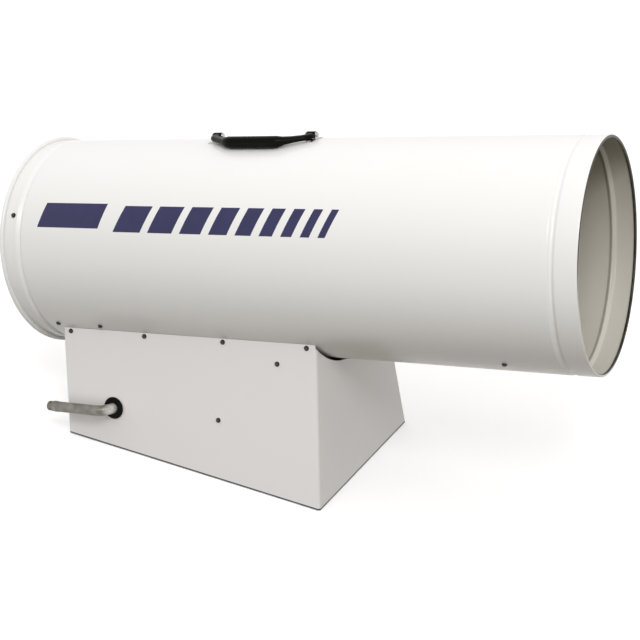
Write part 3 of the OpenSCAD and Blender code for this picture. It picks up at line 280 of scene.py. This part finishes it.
def enamel(name, colour, shade, dull=0.0):
    """White baked enamel: two close tones, orange peel some millimetres wide, a thin clear coat."""
    made = worn(name, colour, 0.30, tones=(3, 2, shade, colour), gloss=(30, 3, 0.28 + dull, 0.33 + dull),
                skin=(380, 2, 0.02 * mm, 0.5))
    made.shader.inputs["Coat Weight"].default_value = 0.25
    made.shader.inputs["Coat Roughness"].default_value = 0.12
    return made


def joint(name):
    """The row of a joint in the frame, by its name."""
    return next(j for j in frame["joints"] if j["name"] == name)


spin = joint("fan_spin")
axis = np.array(spin["axis"])
side = np.array([0.0, -1.0, 0.0])
crown = np.cross(side, axis)
fan_x = 238 * mm
rear = np.array(spin["pos_m"]) - fan_x * axis
shell_r, shell_len, shell_wall = 210 * mm, 1170 * mm, 1.5 * mm
shell_steps = 288


def on_shell(x, angle, radius):
    """Points round the shell: x along its axis, the angle from its crown towards the inlet side. A point is
    the rear plus x times the axis, plus the radius times cosine times crown plus sine times side."""
    x, angle, radius = np.broadcast_arrays(x, angle, radius)
    outwards = np.cos(angle)[..., None] * crown + np.sin(angle)[..., None] * side
    return rear + x[..., None] * axis + radius[..., None] * outwards


def surface(name, points, around=False, along=False, smooth=35):
    """A grid of points, rows by columns, as quads. around joins the last column to the first and along
    the last row to the first; the open ends of a closed round are capped."""
    rows, columns = points.shape[:2]
    index = np.arange(rows * columns).reshape(rows, columns)
    if around:
        index = np.concatenate([index, index[:, :1]], axis=1)
    if along:
        index = np.concatenate([index, index[:1]], axis=0)
    quads = np.stack([index[:-1, :-1], index[:-1, 1:], index[1:, 1:], index[1:, :-1]], axis=-1)
    faces = quads.reshape(-1, 4).tolist()
    if around and not along:
        faces += [np.arange(columns)[::-1].tolist(), ((rows - 1) * columns + np.arange(columns)).tolist()]
    mesh = bpy.data.meshes.new(name)
    mesh.from_pydata(points.reshape(-1, 3).tolist(), [], faces)
    if around:
        shape = bmesh.new()
        shape.from_mesh(mesh)
        bmesh.ops.remove_doubles(shape, verts=shape.verts, dist=1e-7)
        bmesh.ops.recalc_face_normals(shape, faces=shape.faces)
        shape.to_mesh(mesh)
        shape.free()
    mesh.shade_smooth()
    mesh.set_sharp_from_angle(angle=math.radians(smooth))
    piece = bpy.data.objects.new(name, mesh)
    bpy.context.scene.collection.objects.link(piece)
    return piece


def turned(name, outline):
    """A closed outline carried round the shell's axis: each of its points gives a place along the axis and
    a radius, and stands once at every step of a full turn."""
    angle = np.linspace(0, 2 * math.pi, shell_steps, endpoint=False)
    points = on_shell(outline[:, :1], angle[None], outline[:, 1:])
    return surface(name, points, around=True, along=True, smooth=30)


def arc(centre, radius, start, stop, count):
    """Points of an arc in the outline's plane: the centre plus the radius times the cosine and the sine of
    angles from the direction of the axis."""
    angle = np.radians(np.linspace(start, stop, count))
    return np.array(centre) + radius * np.stack([np.cos(angle), np.sin(angle)], axis=-1)


bead_depth, bead_half = 5.2 * mm, 7.8 * mm
bead_places = (43 * mm, shell_len - 45 * mm)


def bead(x):
    """Depth of the two rolled beads at places along the shell: one wave of a raised cosine each."""
    depth = np.zeros_like(x)
    for place in bead_places:
        share = np.clip(np.abs(x - place) / bead_half, 0, 1)
        depth += bead_depth * 0.5 * (1 + np.cos(math.pi * share))
    return depth


inner_r = shell_r - shell_wall
curl_r, curl_from, curl_to = 4.5 * mm, -41.8, 270.0
hem_r, hem_from, hem_to = 2.8 * mm, 90.0, -207.7
collar_step, collar_ramp = 0.45 * mm, 3 * mm
curl = arc((curl_r, inner_r + curl_r), curl_r, curl_from, curl_to, 30)
hem_middle = np.array([shell_len - hem_r, shell_r - collar_step - hem_r])
hem = arc(hem_middle, hem_r, hem_from, hem_to, 30)
places = np.unique(np.concatenate([[p + t * bead_half for t in np.linspace(-1, 1, 25)] for p in bead_places]
                                  + [np.linspace(30 * mm, shell_len - 20 * mm, 40)]))
collar = collar_step * np.clip((places - bead_places[1] - bead_half) / collar_ramp, 0, 1)
outside = np.stack([places, shell_r - bead(places) - collar], axis=-1)
inside = outside[::-1] - [0, shell_wall]
skin = turned("shell_skin", np.concatenate([outside, hem, inside, curl[::-1]]))

shell_white = enamel("shell_white", (0.875, 0.87, 0.86), (0.868, 0.864, 0.852))
# The inside enamel is a darker, warmer copy of the shell's white: painted shade.
shell_inside = enamel("shell_inside", (0.72, 0.695, 0.62), (0.65, 0.62, 0.54), 0.06)
# Painted shade: the inside is darkened further on its upper side towards the outlet.
shade_rise, shade_run = (0.0, 0.10), (0.25, 0.45)
painted_shade_share = shell_inside.node("Math", operation="MULTIPLY")
wire(shell_inside.tree, shell_inside.between(shell_inside.along((-0.9, 0, 1)), 0, 1, *shade_rise),
     painted_shade_share.inputs[0])
wire(shell_inside.tree, shell_inside.between(shell_inside.along((1, 0, 0)), 0, 1, *shade_run),
     painted_shade_share.inputs[1])
shell_inside.overlaid(painted_shade_share.outputs[0], (0.40, 0.40, 0.33), "MULTIPLY")
skin.data.materials.append(shell_white.material)
skin.data.materials.append(shell_inside.material)
centres = np.empty(3 * len(skin.data.polygons))
facing = np.empty(3 * len(skin.data.polygons))
skin.data.polygons.foreach_get("center", centres)
skin.data.polygons.foreach_get("normal", facing)
radial = centres.reshape(-1, 3) - rear
along_axis = radial @ axis
radial -= along_axis[:, None] * axis
inward = ((radial * facing.reshape(-1, 3)).sum(axis=1) < 0) & (along_axis > 2 * curl_r)
skin.data.polygons.foreach_set("material_index", inward.astype(np.int32))
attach(skin, "heater")
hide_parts("heat_shell")

# outlet hem
# The shell's outlet edge is folded over inwards. The fold's inner side is painted dark as painted shade,
# and so is its end above the middle of the shell. Below that the end stays cream.
lip_from, lip_to, lip_points = 48.0, -196.0, 28
proud, sunk = 0.08 * mm, 0.3 * mm
lip = turned("outlet_hem", np.concatenate([arc(hem_middle, hem_r + proud, lip_from, lip_to, lip_points),
                                           arc(hem_middle, hem_r - sunk, lip_to, lip_from, lip_points)]))
# Painted shade: the fold's inner side is dark.
hem_shade = worn("hem_painted_shade", (0.045, 0.040, 0.028), 0.42, 0.5, gloss=(120, 4, 0.34, 0.5),
               tones=(35, 4, (0.020, 0.018, 0.012), (0.075, 0.068, 0.050)), skin=(700, 3, 0.02 * mm, 0.5))
# Painted shade: the fold's end turns dark above the middle of the shell and stays cream below.
cream_to, shade_from = 0.50, 0.58
edge = Finish("hem_end_painted_shade", (0.3, 0.28, 0.25), 0.38)
edge.colour(edge.blend(edge.along((0, 0, 1)), (0.84, 0.82, 0.78), (0.035, 0.032, 0.022),
                       cream_to, shade_from))
edge.relief(edge.noise(700, 3), 0.02 * mm, 0.5)
lip.data.materials.append(hem_shade.material)
lip.data.materials.append(edge.material)
end_segments = 8
segment = np.arange(len(lip.data.polygons)) // shell_steps
lip.data.polygons.foreach_set("material_index", (segment < end_segments).astype(np.int32))
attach(lip, "heater")


# printed stripes
# Plain navy bars, screen printed on the inlet side of the shell: one slanting block and a row of
# slanting bars behind it. The ink is a little duller than the enamel and stands a hair above it.
def joined(name, parts):
    """Several pieces of one material made one object."""
    with bpy.context.temp_override(active_object=parts[0], selected_editable_objects=parts):
        bpy.ops.object.join()
    parts[0].name = name
    parts[0].data.name = name
    return parts[0]


def slab(name, front, back):
    """A thin closed plate: each row runs back along the front grid and then forwards along the back one,
    which closes a ring round the plate."""
    return surface(name, np.concatenate([front[:, ::-1], back], axis=1), around=True)


def printed_bar(x_low, x_high, angle_low, angle_high, slant):
    """A bar between two lengths and two angles, its ends leaning by slant, lifted off the enamel: x goes
    evenly from x_low to x_high, plus slant times a half less the share of the way down."""
    u, v = np.meshgrid(np.linspace(0, 1, 13), np.linspace(0, 1, 13), indexing="ij")
    x = x_low + (x_high - x_low) * v + slant * (0.5 - u)
    angle = angle_low + (angle_high - angle_low) * u
    ink_top, ink_under = 0.16 * mm, 0.02 * mm
    return slab("bar", on_shell(x, angle, shell_r + ink_top), on_shell(x, angle, shell_r + ink_under))


block_from, block_to, block_slant = 97 * mm, 243 * mm, 16 * mm
block_top, block_low = math.radians(53.5), math.radians(67)
row_top, row_low = math.radians(54.5), math.radians(68.5)
bars = [printed_bar(block_from, block_to, block_top, block_low, block_slant)]
bar_at, bar_gap, bar_slant = 282 * mm, 17 * mm, 22 * mm
for width in (62, 54, 46, 39, 33, 27, 22, 18, 14):
    bars.append(printed_bar(bar_at, bar_at + width * mm, row_top, row_low, bar_slant))
    bar_at += width * mm + bar_gap
stripes = joined("navy_stripes", bars)
navy = worn("navy_ink", (0.017, 0.016, 0.085), 0.38, skin=(700, 2, 0.02 * mm, 0.5),
            tones=(40, 4, (0.015, 0.014, 0.078), (0.020, 0.019, 0.095)))
stripes.data.materials.append(navy.material)
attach(stripes, "heater")

# carrying handle
# One black moulding: an eye at each end on its pivot pin, a tab, a slanting arm and a thick grip. It lies
# folded over to the inlet side, leaning a little off the shell.
pivot = np.array(joint("handle_fold")["pos_m"])
lean = math.radians(2.96)
away = math.cos(lean) * side - math.sin(lean) * crown
lift = math.cos(lean) * crown + math.sin(lean) * side


def smooth_path(points, rounds):
    """Corner cutting: each round puts two points on every leg, a quarter from its ends."""
    for _ in range(rounds):
        first, last = points[:1], points[-1:]
        a, b = points[:-1], points[1:]
        points = np.stack([0.75 * a + 0.25 * b, 0.25 * a + 0.75 * b], axis=1).reshape(-1, points.shape[1])
        points = np.concatenate([first, points, last])
    return points


def swept(name, path, wide, high, up, round_count=32, power=2.3):
    """A superellipse carried along a path: wide in the path's own plane, high along up. A point of it is
    the path plus wide times the signed power of a cosine and high times that of a sine."""
    step = np.gradient(path, axis=0)
    step /= np.linalg.norm(step, axis=1, keepdims=True)
    across = np.cross(up, step)
    across /= np.linalg.norm(across, axis=1, keepdims=True)
    turn = np.linspace(0, 2 * math.pi, round_count, endpoint=False)
    c, s = np.cos(turn), np.sin(turn)
    c = np.sign(c) * np.abs(c) ** (2 / power)
    s = np.sign(s) * np.abs(s) ** (2 / power)
    points = (path[:, None] + wide[:, None, None] * c[None, :, None] * across[:, None]
              + high[:, None, None] * s[None, :, None] * np.asarray(up)[None, None])
    return surface(name, points, around=True)


span, grip_out = 102, 50
half = np.array([[span, 1], [span, 8], [101.5, 14], [97, 20], [82, 29], [64, 40], [53, 47],
                 [45, grip_out], [24, grip_out], [0, grip_out]], float)
half = smooth_path(half, 4)
whole = np.concatenate([half, (half * [-1, 1])[::-1][1:]])
run = np.concatenate([[0], np.cumsum(np.linalg.norm(np.diff(half, axis=0), axis=1))])
stations = [0, 10, 18, 27, 46, 60, 72, 82, run[-1]]
wide = np.interp(run, stations, [8.8, 8.8, 8.8, 8.8, 10.2, 11.0, 11.6, 11.6, 11.6])
high = np.interp(run, stations, [5.2, 5.4, 5.5, 5.4, 6.2, 7.8, 10.8, 11.4, 11.4])
wide = np.concatenate([wide, wide[::-1][1:]]) * mm
high = np.concatenate([high, high[::-1][1:]]) * mm
path = pivot + (whole[:, :1] * axis + whole[:, 1:] * away) * mm
bail = swept("bail", path, wide, high, lift)
eye_half, eye_r, eye_bore, eye_round = 9, 6.8, 3.1, 0.8
eye_outline = np.array([[eye_round - eye_half, eye_r], [eye_half - eye_round, eye_r],
                        [eye_half, eye_r - eye_round], [eye_half, eye_bore],
                        [-eye_half, eye_bore], [-eye_half, eye_r - eye_round]]) * mm
eyes = []
for end in (-1, 1):
    turn = np.linspace(0, 2 * math.pi, 40, endpoint=False)
    spokes = np.cos(turn)[None, :, None] * away + np.sin(turn)[None, :, None] * lift
    eye_x = (end * span * mm + eye_outline[:, 0])[:, None, None]
    eyes.append(surface("eye", pivot + eye_x * axis + eye_outline[:, 1][:, None, None] * spokes,
                        around=True, along=True))
bail = joined("handle_moulding", [bail] + eyes)
glossy_black = worn("handle_black", (0.004, 0.004, 0.0035), 0.34, gloss=(60, 5, 0.22, 0.34),
                    tones=(25, 3, (0.0016, 0.0016, 0.0013), (0.003, 0.003, 0.0026)),
                    skin=(900, 2, 0.02 * mm, 0.5))
glossy_black.shader.inputs["Specular IOR Level"].default_value = 0.08
bail.data.materials.append(glossy_black.material)
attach(bail, "handle")
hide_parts("handle_bail")

# bright steel
# The handle's brackets are pressed from plated sheet and riveted to the shell, and its pins are turned.
# The motor's shaft and bearings are ground steel.
bright_steel = worn("bright_steel", (0.62, 0.62, 0.60), 0.28, 1.0, gloss=(250, 4, 0.20, 0.36),
                    tones=(90, 3, (0.56, 0.56, 0.54), (0.68, 0.68, 0.66)), skin=(1200, 2, 0.01 * mm, 0.4))
bright_steel.on("handle_brackets", "handle_rivets", "handle_pins", "motor_bearings", "motor_shaft")

# screws
# Thread-forming screws with a hexagon and a pressed washer, black zinc plated, in the shell, the flange,
# the guard and the inlet wall.
black_zinc = worn("black_zinc", (0.055, 0.052, 0.05), 0.42, 0.8, gloss=(500, 4, 0.34, 0.52),
                  tones=(300, 4, (0.035, 0.034, 0.034), (0.09, 0.085, 0.08)),
                  skin=(1500, 2, 0.02 * mm, 0.5))
black_zinc.on("liner_screws", "guard_screws", "motor_mount_screws", "near_flange_screws",
              "far_flange_screws", "control_box_screws")

# base
# A box of folded sheet under the shell, its side walls flared outwards and enamelled like the shell. The
# far side is closed by a plain control panel. The lowest few millimetres of its walls are painted dark.
# The walls' lowest few millimetres are painted dark.
dark_edge_to, plain_from = 3.8 * mm, 4.8 * mm
# The base's enamel is a slightly darker, warmer copy of the shell's white: painted shade.
base_white = enamel("base_white", (0.84, 0.82, 0.81), (0.83, 0.81, 0.80), 0.04)
dark_edge_share = base_white.between(base_white.along((0, 0, 1)), 1, 0, dark_edge_to, plain_from)
base_white.overlaid(dark_edge_share, (0.02, 0.019, 0.017))
base_white.on("base_wrapper", "far_side_panel")

# galvanised sheet
# The floor pan, the rails, the motor's bridge and the fan are left in bare galvanised sheet: crystal
# cells of some millimetres, each with its own grey and its own gloss.
zinc = (0.58, 0.59, 0.60)
darker, lighter = (tuple(tone * c for c in zinc) for tone in (0.93, 1.07))
galvanised = Finish("galvanised_sheet", zinc, 0.4, 1.0)
crystal = galvanised.node("SeparateColor")
wire(galvanised.tree, galvanised.cells(110, "Color"), crystal.inputs["Color"])
galvanised.colour(galvanised.blend(crystal.outputs["Red"], darker, lighter, 0.1, 0.9))
galvanised.roughness(galvanised.between(crystal.outputs["Green"], 0.30, 0.52, 0.0, 1.0))
galvanised.relief(galvanised.noise(350, 3), 0.02 * mm, 0.5)
galvanised.on("base_pan", "saddle_rail_near", "saddle_rail_far", "motor_mount", "motor_straps",
              "valve_bracket", "air_paddle", "fan_spider", "fan_rivets", "fan_blades")

# inlet grommet
# A black rubber ring, moulded in one piece and sprung into the hole in the side wall, where it keeps the
# sheet off the pipe.
soft_black = worn("grommet_rubber", (0.003, 0.003, 0.003), 0.6, gloss=(200, 4, 0.45, 0.7),
                  tones=(120, 5, (0.002, 0.002, 0.002), (0.006, 0.0055, 0.005)),
                  skin=(1500, 3, 0.03 * mm, 0.6))
soft_black.shader.inputs["Specular IOR Level"].default_value = 0.08
soft_black.on("inlet_grommet")

# gas pipe
# A grey steel pipe comes through the grommet and turns back along the wall. It is weathered along its
# length. From the bend inwards it is painted a light grey, partly for a bright fitting and partly as a
# painted highlight on the bend. The riser to the burner is of the same pipe.
mill_grey = worn("pipe_grey", (0.24, 0.235, 0.21), 0.42, 0.5, gloss=(160, 5, 0.34, 0.5),
                 tones=(70, 5, (0.16, 0.15, 0.13), (0.29, 0.28, 0.25)), skin=(900, 3, 0.02 * mm, 0.6))
bend_from, bend_to = (float((rear + x * mm * axis) @ axis) for x in (193, 204))
# Partly painted highlight: the pipe is light grey from the bend inwards.
mill_grey.overlaid(mill_grey.between(mill_grey.along(axis), 0.0, 1.0, bend_from, bend_to), (0.66, 0.65, 0.62))
mill_grey.on("inlet_pipe", "gas_riser")

# threaded nipple
# The pipe ends in a hexagon with a tapered pipe thread for the hose, turned from one bar. The thread is a
# true helix, and the bore goes through.
hex_flats, hex_long, hex_round = 12.5 * mm, 11 * mm, 0.985
thread_r, thread_long, pitch, thread_deep, taper_run = 10.2 * mm, 25 * mm, 1.81 * mm, 1.1 * mm, 32
bore_r, bore_mouth_r = 5.1 * mm, 5.2 * mm
connector = frame["nodes"]["inlet_connector"]
corners = np.array([connector.matrix_world @ v.co for v in connector.data.vertices])
middle = corners.mean(axis=0)
nearer = corners[(corners - middle) @ axis > 0].mean(axis=0)
seat = nearer + axis * ((corners @ axis).max() - nearer @ axis)
turns = np.linspace(0, 2 * math.pi, 96, endpoint=False)
crosswise = np.cross(axis, [0.0, 0.0, 1.0])
crosswise /= np.linalg.norm(crosswise)
lengthwise = np.cross(crosswise, axis)
rays_out = np.cos(turns)[:, None] * crosswise + np.sin(turns)[:, None] * lengthwise


def about(away, radius):
    """Rings round the connector's axis: distances from its seat and radii, both by ring and angle."""
    away, radius = np.broadcast_arrays(away, radius)
    return seat - away[..., None] * axis + radius[..., None] * rays_out[None]


def hexagon_rings():
    """Six rings of the hexagon. Each side's distance is the flats' over the cosine of the angle from its
    middle, cut round at the corners and chamfered at both ends."""
    along_hex = np.array([0, 0.6, 1.2, 9.8, 10.4, 11.0])[:, None] * mm
    chamfer = np.array([-0.9, -0.2, 0, 0, -0.2, -0.9])[:, None] * mm
    sector = (turns[None] + math.pi / 6) % (math.pi / 3) - math.pi / 6
    flat = hex_flats * math.cos(math.pi / 6) / np.cos(sector)
    return about(along_hex, np.minimum(flat, hex_flats * hex_round) + chamfer)


def thread_rings():
    """Rings along the thread. The radius falls with the taper and, between the ridges, by a triangle wave
    of the place over the pitch less the turn, which fades in behind the hexagon."""
    run_in, fade_long, run_out = 1.5 * mm, 2 * mm, 1.2 * mm
    thread_at = np.linspace(hex_long, thread_long - run_out, 110)[:, None]
    wave = (thread_at / pitch - turns[None] / (2 * math.pi)) % 1.0
    ridge = 1.0 - np.abs(2 * wave - 1)
    fade = np.clip((thread_at - hex_long - run_in) / fade_long, 0, 1)
    taper = (thread_at - hex_long) / taper_run
    return about(thread_at, thread_r - taper - thread_deep * fade * (1 - ridge))


end_at = np.array([thread_long - 0.6 * mm, thread_long, thread_long, hex_long, 0.0])[:, None]
end_r = np.array([thread_r - 1.6 * mm, thread_r - 2.4 * mm, bore_mouth_r, bore_r, bore_r])[:, None]
end_rings = about(end_at, end_r + 0 * turns[None])
nipple = surface("threaded_nipple", np.concatenate([hexagon_rings(), thread_rings(), end_rings]),
                 around=True, along=True, smooth=28)
nipple.data.materials.append(mill_grey.material)
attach(nipple, "heater")
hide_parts("inlet_connector")


# moulded plastic
# Black plastic with a fine grain for the switches, the knob, the terminal block, the coils and the gland,
# red for the rocker and the reset button.
def moulded(name, colour, roughness):
    """Moulded plastic: one colour with a slight change of depth and a fine spark-eroded grain."""
    made = Finish(name, colour, roughness)
    made.colour(made.blend(made.noise(45, 4), colour, tuple(1.35 * c for c in colour)))
    made.roughness(made.between(made.noise(90, 4), roughness - 0.06, roughness + 0.08))
    made.relief(made.cells(1600, "Distance"), 0.03 * mm, 0.5)
    return made


moulded("black_moulding", (0.016, 0.016, 0.017), 0.45).on(
    "air_switch", "terminal_block", "thermostat_body", "thermostat_knob", "switch_housing",
    "reset_housing", "cord_gland", "valve_coils")
moulded("red_moulding", (0.30, 0.012, 0.010), 0.3).on("switch_rocker", "reset_button")

# thermostat scale
# Ticks and plain numbers printed in black on the far side panel, round the thermostat knob.
# Every second tick is longer and has a number.
knob, rocker = joint("knob_turn"), joint("rocker_tilt")
square_out = np.array(knob["axis"])
wall_up = np.cross(axis, square_out)
wall_right = np.cross(wall_up, square_out)


def on_wall(centre, across, up, out):
    """Points in a side wall's frame: across to the right as read, up along the wall and outwards."""
    across, up, out = np.broadcast_arrays(across, up, out)
    return (np.asarray(centre) + across[..., None] * wall_right + up[..., None] * wall_up
            + out[..., None] * square_out)


def printed_line(centre, start, end, width, out, slope=0.0):
    """A thin flat line on the wall: the start plus a share of the run plus a share of half the width beside
    it. Its height is out plus slope times the place up the wall, so that it follows a leaning face."""
    ink, sunk_ink = 0.12 * mm, 0.03 * mm
    start, end = np.array(start), np.array(end)
    run = end - start
    beside = np.array([-run[1], run[0]]) / np.linalg.norm(run) * width / 2
    u, v = np.meshgrid(np.linspace(0, 1, 5), np.linspace(-1, 1, 3), indexing="ij")
    flat = start + u[..., None] * run + v[..., None] * beside
    lift = out + slope * flat[..., 1]
    return slab("line", on_wall(centre, flat[..., 0], flat[..., 1], lift + ink),
                on_wall(centre, flat[..., 0], flat[..., 1], lift - sunk_ink))


def printed_number(centre, sign, at, height, out):
    """A number from the built-in typeface, made a mesh and then laid on the wall."""
    curve = bpy.data.curves.new("number", "FONT")
    curve.body = sign
    curve.size = height
    curve.align_x = "CENTER"
    curve.align_y = "CENTER"
    curve.extrude = 0.06 * mm
    made = bpy.data.objects.new("number", curve)
    bpy.context.scene.collection.objects.link(made)
    mesh = bpy.data.meshes.new_from_object(made)
    bpy.data.objects.remove(made)
    corners = np.empty(3 * len(mesh.vertices))
    mesh.vertices.foreach_get("co", corners)
    corners = corners.reshape(-1, 3)
    placed = on_wall(centre, corners[:, 0] + at[0], corners[:, 1] + at[1], corners[:, 2] + out)
    mesh.vertices.foreach_set("co", placed.ravel())
    piece = bpy.data.objects.new("number", mesh)
    bpy.context.scene.collection.objects.link(piece)
    return piece


panel_face = 1.5 * mm
tick_count, tick_angle, tick_wide = 11, 27, 0.8 * mm
tick_from, long_tick, short_tick = 21.5 * mm, 26.5 * mm, 24.5 * mm
number_r, number_high = 30.5 * mm, 6 * mm
marks = []
for step in range(tick_count):
    turn = math.radians(tick_angle * step)
    point = np.array([-math.sin(turn), math.cos(turn)])
    tick_to = short_tick if step % 2 else long_tick
    marks.append(printed_line(knob["pos_m"], point * tick_from, point * tick_to, tick_wide, panel_face))
    if step % 2 == 0:
        marks.append(printed_number(knob["pos_m"], str(step // 2), point * number_r, number_high, panel_face))
scale = joined("thermostat_scale", marks)
black_ink = worn("black_ink", (0.02, 0.02, 0.022), 0.45, skin=(900, 2, 0.01 * mm, 0.5),
                 tones=(200, 3, (0.016, 0.016, 0.018), (0.03, 0.03, 0.032)))
scale.data.materials.append(black_ink.material)
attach(scale, "heater")

# knob pointer
# A short white line, pad printed on the top of the thermostat knob. It turns with the knob and points at
# the scale.
white_ink = worn("white_ink", (0.80, 0.80, 0.78), 0.45, skin=(900, 2, 0.01 * mm, 0.5),
                 tones=(200, 3, (0.74, 0.74, 0.72), (0.84, 0.84, 0.82)))
knob_top, pointer_from, pointer_to, pointer_wide = 21.0 * mm, 6 * mm, 14.5 * mm, 1.4 * mm
pointer = printed_line(knob["pos_m"], (0, pointer_from), (0, pointer_to), pointer_wide, knob_top)
pointer.name = "knob_pointer"
pointer.data.materials.append(white_ink.material)
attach(pointer, "knob")

# rocker signs
# The usual signs for on and off, a line and a ring, pad printed in white on the rocker's leaning face.
# The ring is a flat band carried round a circle, as high as the face at each place. Both tilt with it.
face_low, face_tilt, face_share = 4.73 * mm, math.radians(10), 0.92
face_lean = -math.tan(face_tilt) * face_share
bar_from, bar_to, bar_wide, ring_middle = -13.5 * mm, -7.5 * mm, 1.3 * mm, 10 * mm
bar = printed_line(rocker["pos_m"], (0, bar_from), (0, bar_to), bar_wide, face_low, slope=face_lean)
turn = np.linspace(0, 2 * math.pi, 40, endpoint=False)[None]
ring_r = np.array([3.4, 3.4, 2.3, 2.3])[:, None] * mm
lifted = np.array([0.12, -0.03, -0.03, 0.12])[:, None] * mm
ring_up = ring_middle + ring_r * np.sin(turn)
circle = surface("ring", on_wall(rocker["pos_m"], ring_r * np.cos(turn), ring_up,
                                 face_low + lifted + face_lean * ring_up), around=True, along=True)
signs = joined("rocker_signs", [bar, circle])
signs.data.materials.append(white_ink.material)
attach(signs, "rocker")

# rear guard
# Rings of steel wire welded on six spokes and coated in black. Screws through its tabs hold it in the
# shell's rear rim, where it keeps hands off the fan.
wire_black = worn("guard_black", (0.03, 0.03, 0.03), 0.35, gloss=(150, 4, 0.28, 0.45),
                  tones=(80, 4, (0.022, 0.022, 0.022), (0.045, 0.044, 0.042)),
                  skin=(700, 3, 0.04 * mm, 0.6))
wire_black.on("fan_guard")

# motor housing
# A drawn steel housing with a pressed end bell at each end, painted black and held by two bands on its
# bridge.
motor_black = worn("motor_paint", (0.022, 0.023, 0.025), 0.4, gloss=(200, 4, 0.32, 0.5),
                   tones=(60, 4, (0.018, 0.019, 0.021), (0.034, 0.035, 0.037)),
                   skin=(1100, 3, 0.05 * mm, 0.6))
motor_black.on("motor_shell", "motor_front_bell", "motor_rear_bell")

# laminated cores
# The motor's stator and rotor and the transformer are stacks of thin steel plates. Their edges show as
# fine lines square to the axis.
plate_thick = 1.3 * mm
stacked = Finish("stacked_steel", (0.20, 0.20, 0.21), 0.5, 0.8)
wave = stacked.node("Math", operation="SINE")
wire(stacked.tree, stacked.along(axis * 2 * math.pi / plate_thick), wave.inputs[0])
stacked.colour(stacked.blend(wave.outputs[0], (0.10, 0.10, 0.105), (0.26, 0.26, 0.27), 0.0, 0.9))
stacked.relief(wave.outputs[0], 0.05 * mm, 0.5)
stacked.on("motor_stator", "motor_rotor", "transformer")

# burner
# The liner, the burner plate and the cup are stainless sheet. Heat has tinted it straw and brown in
# patches, and the sheet keeps the fine lines of its rolling.
heat_tinted = Finish("heat_tinted_steel", (0.50, 0.48, 0.45), 0.36, 1.0)
rolled = heat_tinted.squeezed((0, math.radians(9.2), 0), (12.0, 500.0, 500.0))
fine = heat_tinted.noise(1, 4, rolled)
heat_tinted.colour(heat_tinted.blend(heat_tinted.noise(7, 4), (0.36, 0.32, 0.27), (0.56, 0.545, 0.52)))
heat_tinted.roughness(heat_tinted.between(fine, 0.26, 0.46))
heat_tinted.relief(fine, 0.01 * mm, 0.5)
heat_tinted.on("combustion_liner", "liner_brackets", "burner_plate", "burner_cup")

# brass
# The gas orifice is turned from brass bar and screwed into the riser. The limit switch has a pressed
# brass cap.
brassy = worn("turned_brass", (0.62, 0.42, 0.16), 0.3, 1.0, gloss=(300, 3, 0.22, 0.4),
              tones=(90, 4, (0.50, 0.33, 0.12), (0.70, 0.49, 0.20)), skin=(1200, 2, 0.01 * mm, 0.5))
brassy.on("gas_orifice", "high_limit_switch")

# electrodes
# The igniter and the flame sensor stand in glazed ceramic sleeves, fired white and a little uneven in
# tone.
glazed = worn("glazed_ceramic", (0.80, 0.77, 0.70), 0.2, skin=(500, 2, 0.02 * mm, 0.5),
              tones=(120, 4, (0.72, 0.68, 0.60), (0.84, 0.82, 0.76)))
glazed.shader.inputs["Coat Weight"].default_value = 0.5
glazed.on("igniter", "flame_sensor")

# gas valve
# The valve's body is a die casting in light alloy with a fine sandy skin, screwed to a bracket inside
# the base.
cast = worn("cast_alloy", (0.52, 0.52, 0.52), 0.5, 0.9, gloss=(200, 4, 0.42, 0.6),
            tones=(90, 5, (0.44, 0.44, 0.44), (0.58, 0.58, 0.575)), skin=(800, 4, 0.10 * mm, 0.6))
cast.on("gas_valve")

# control box
# A box of folded sheet inside the base, painted grey, which closes off the wiring behind the far side
# panel.
grey_paint = worn("grey_paint", (0.42, 0.42, 0.42), 0.4, gloss=(80, 4, 0.34, 0.48),
                  tones=(30, 4, (0.40, 0.40, 0.40), (0.45, 0.45, 0.445)), skin=(600, 3, 0.04 * mm, 0.5))
grey_paint.on("control_box")
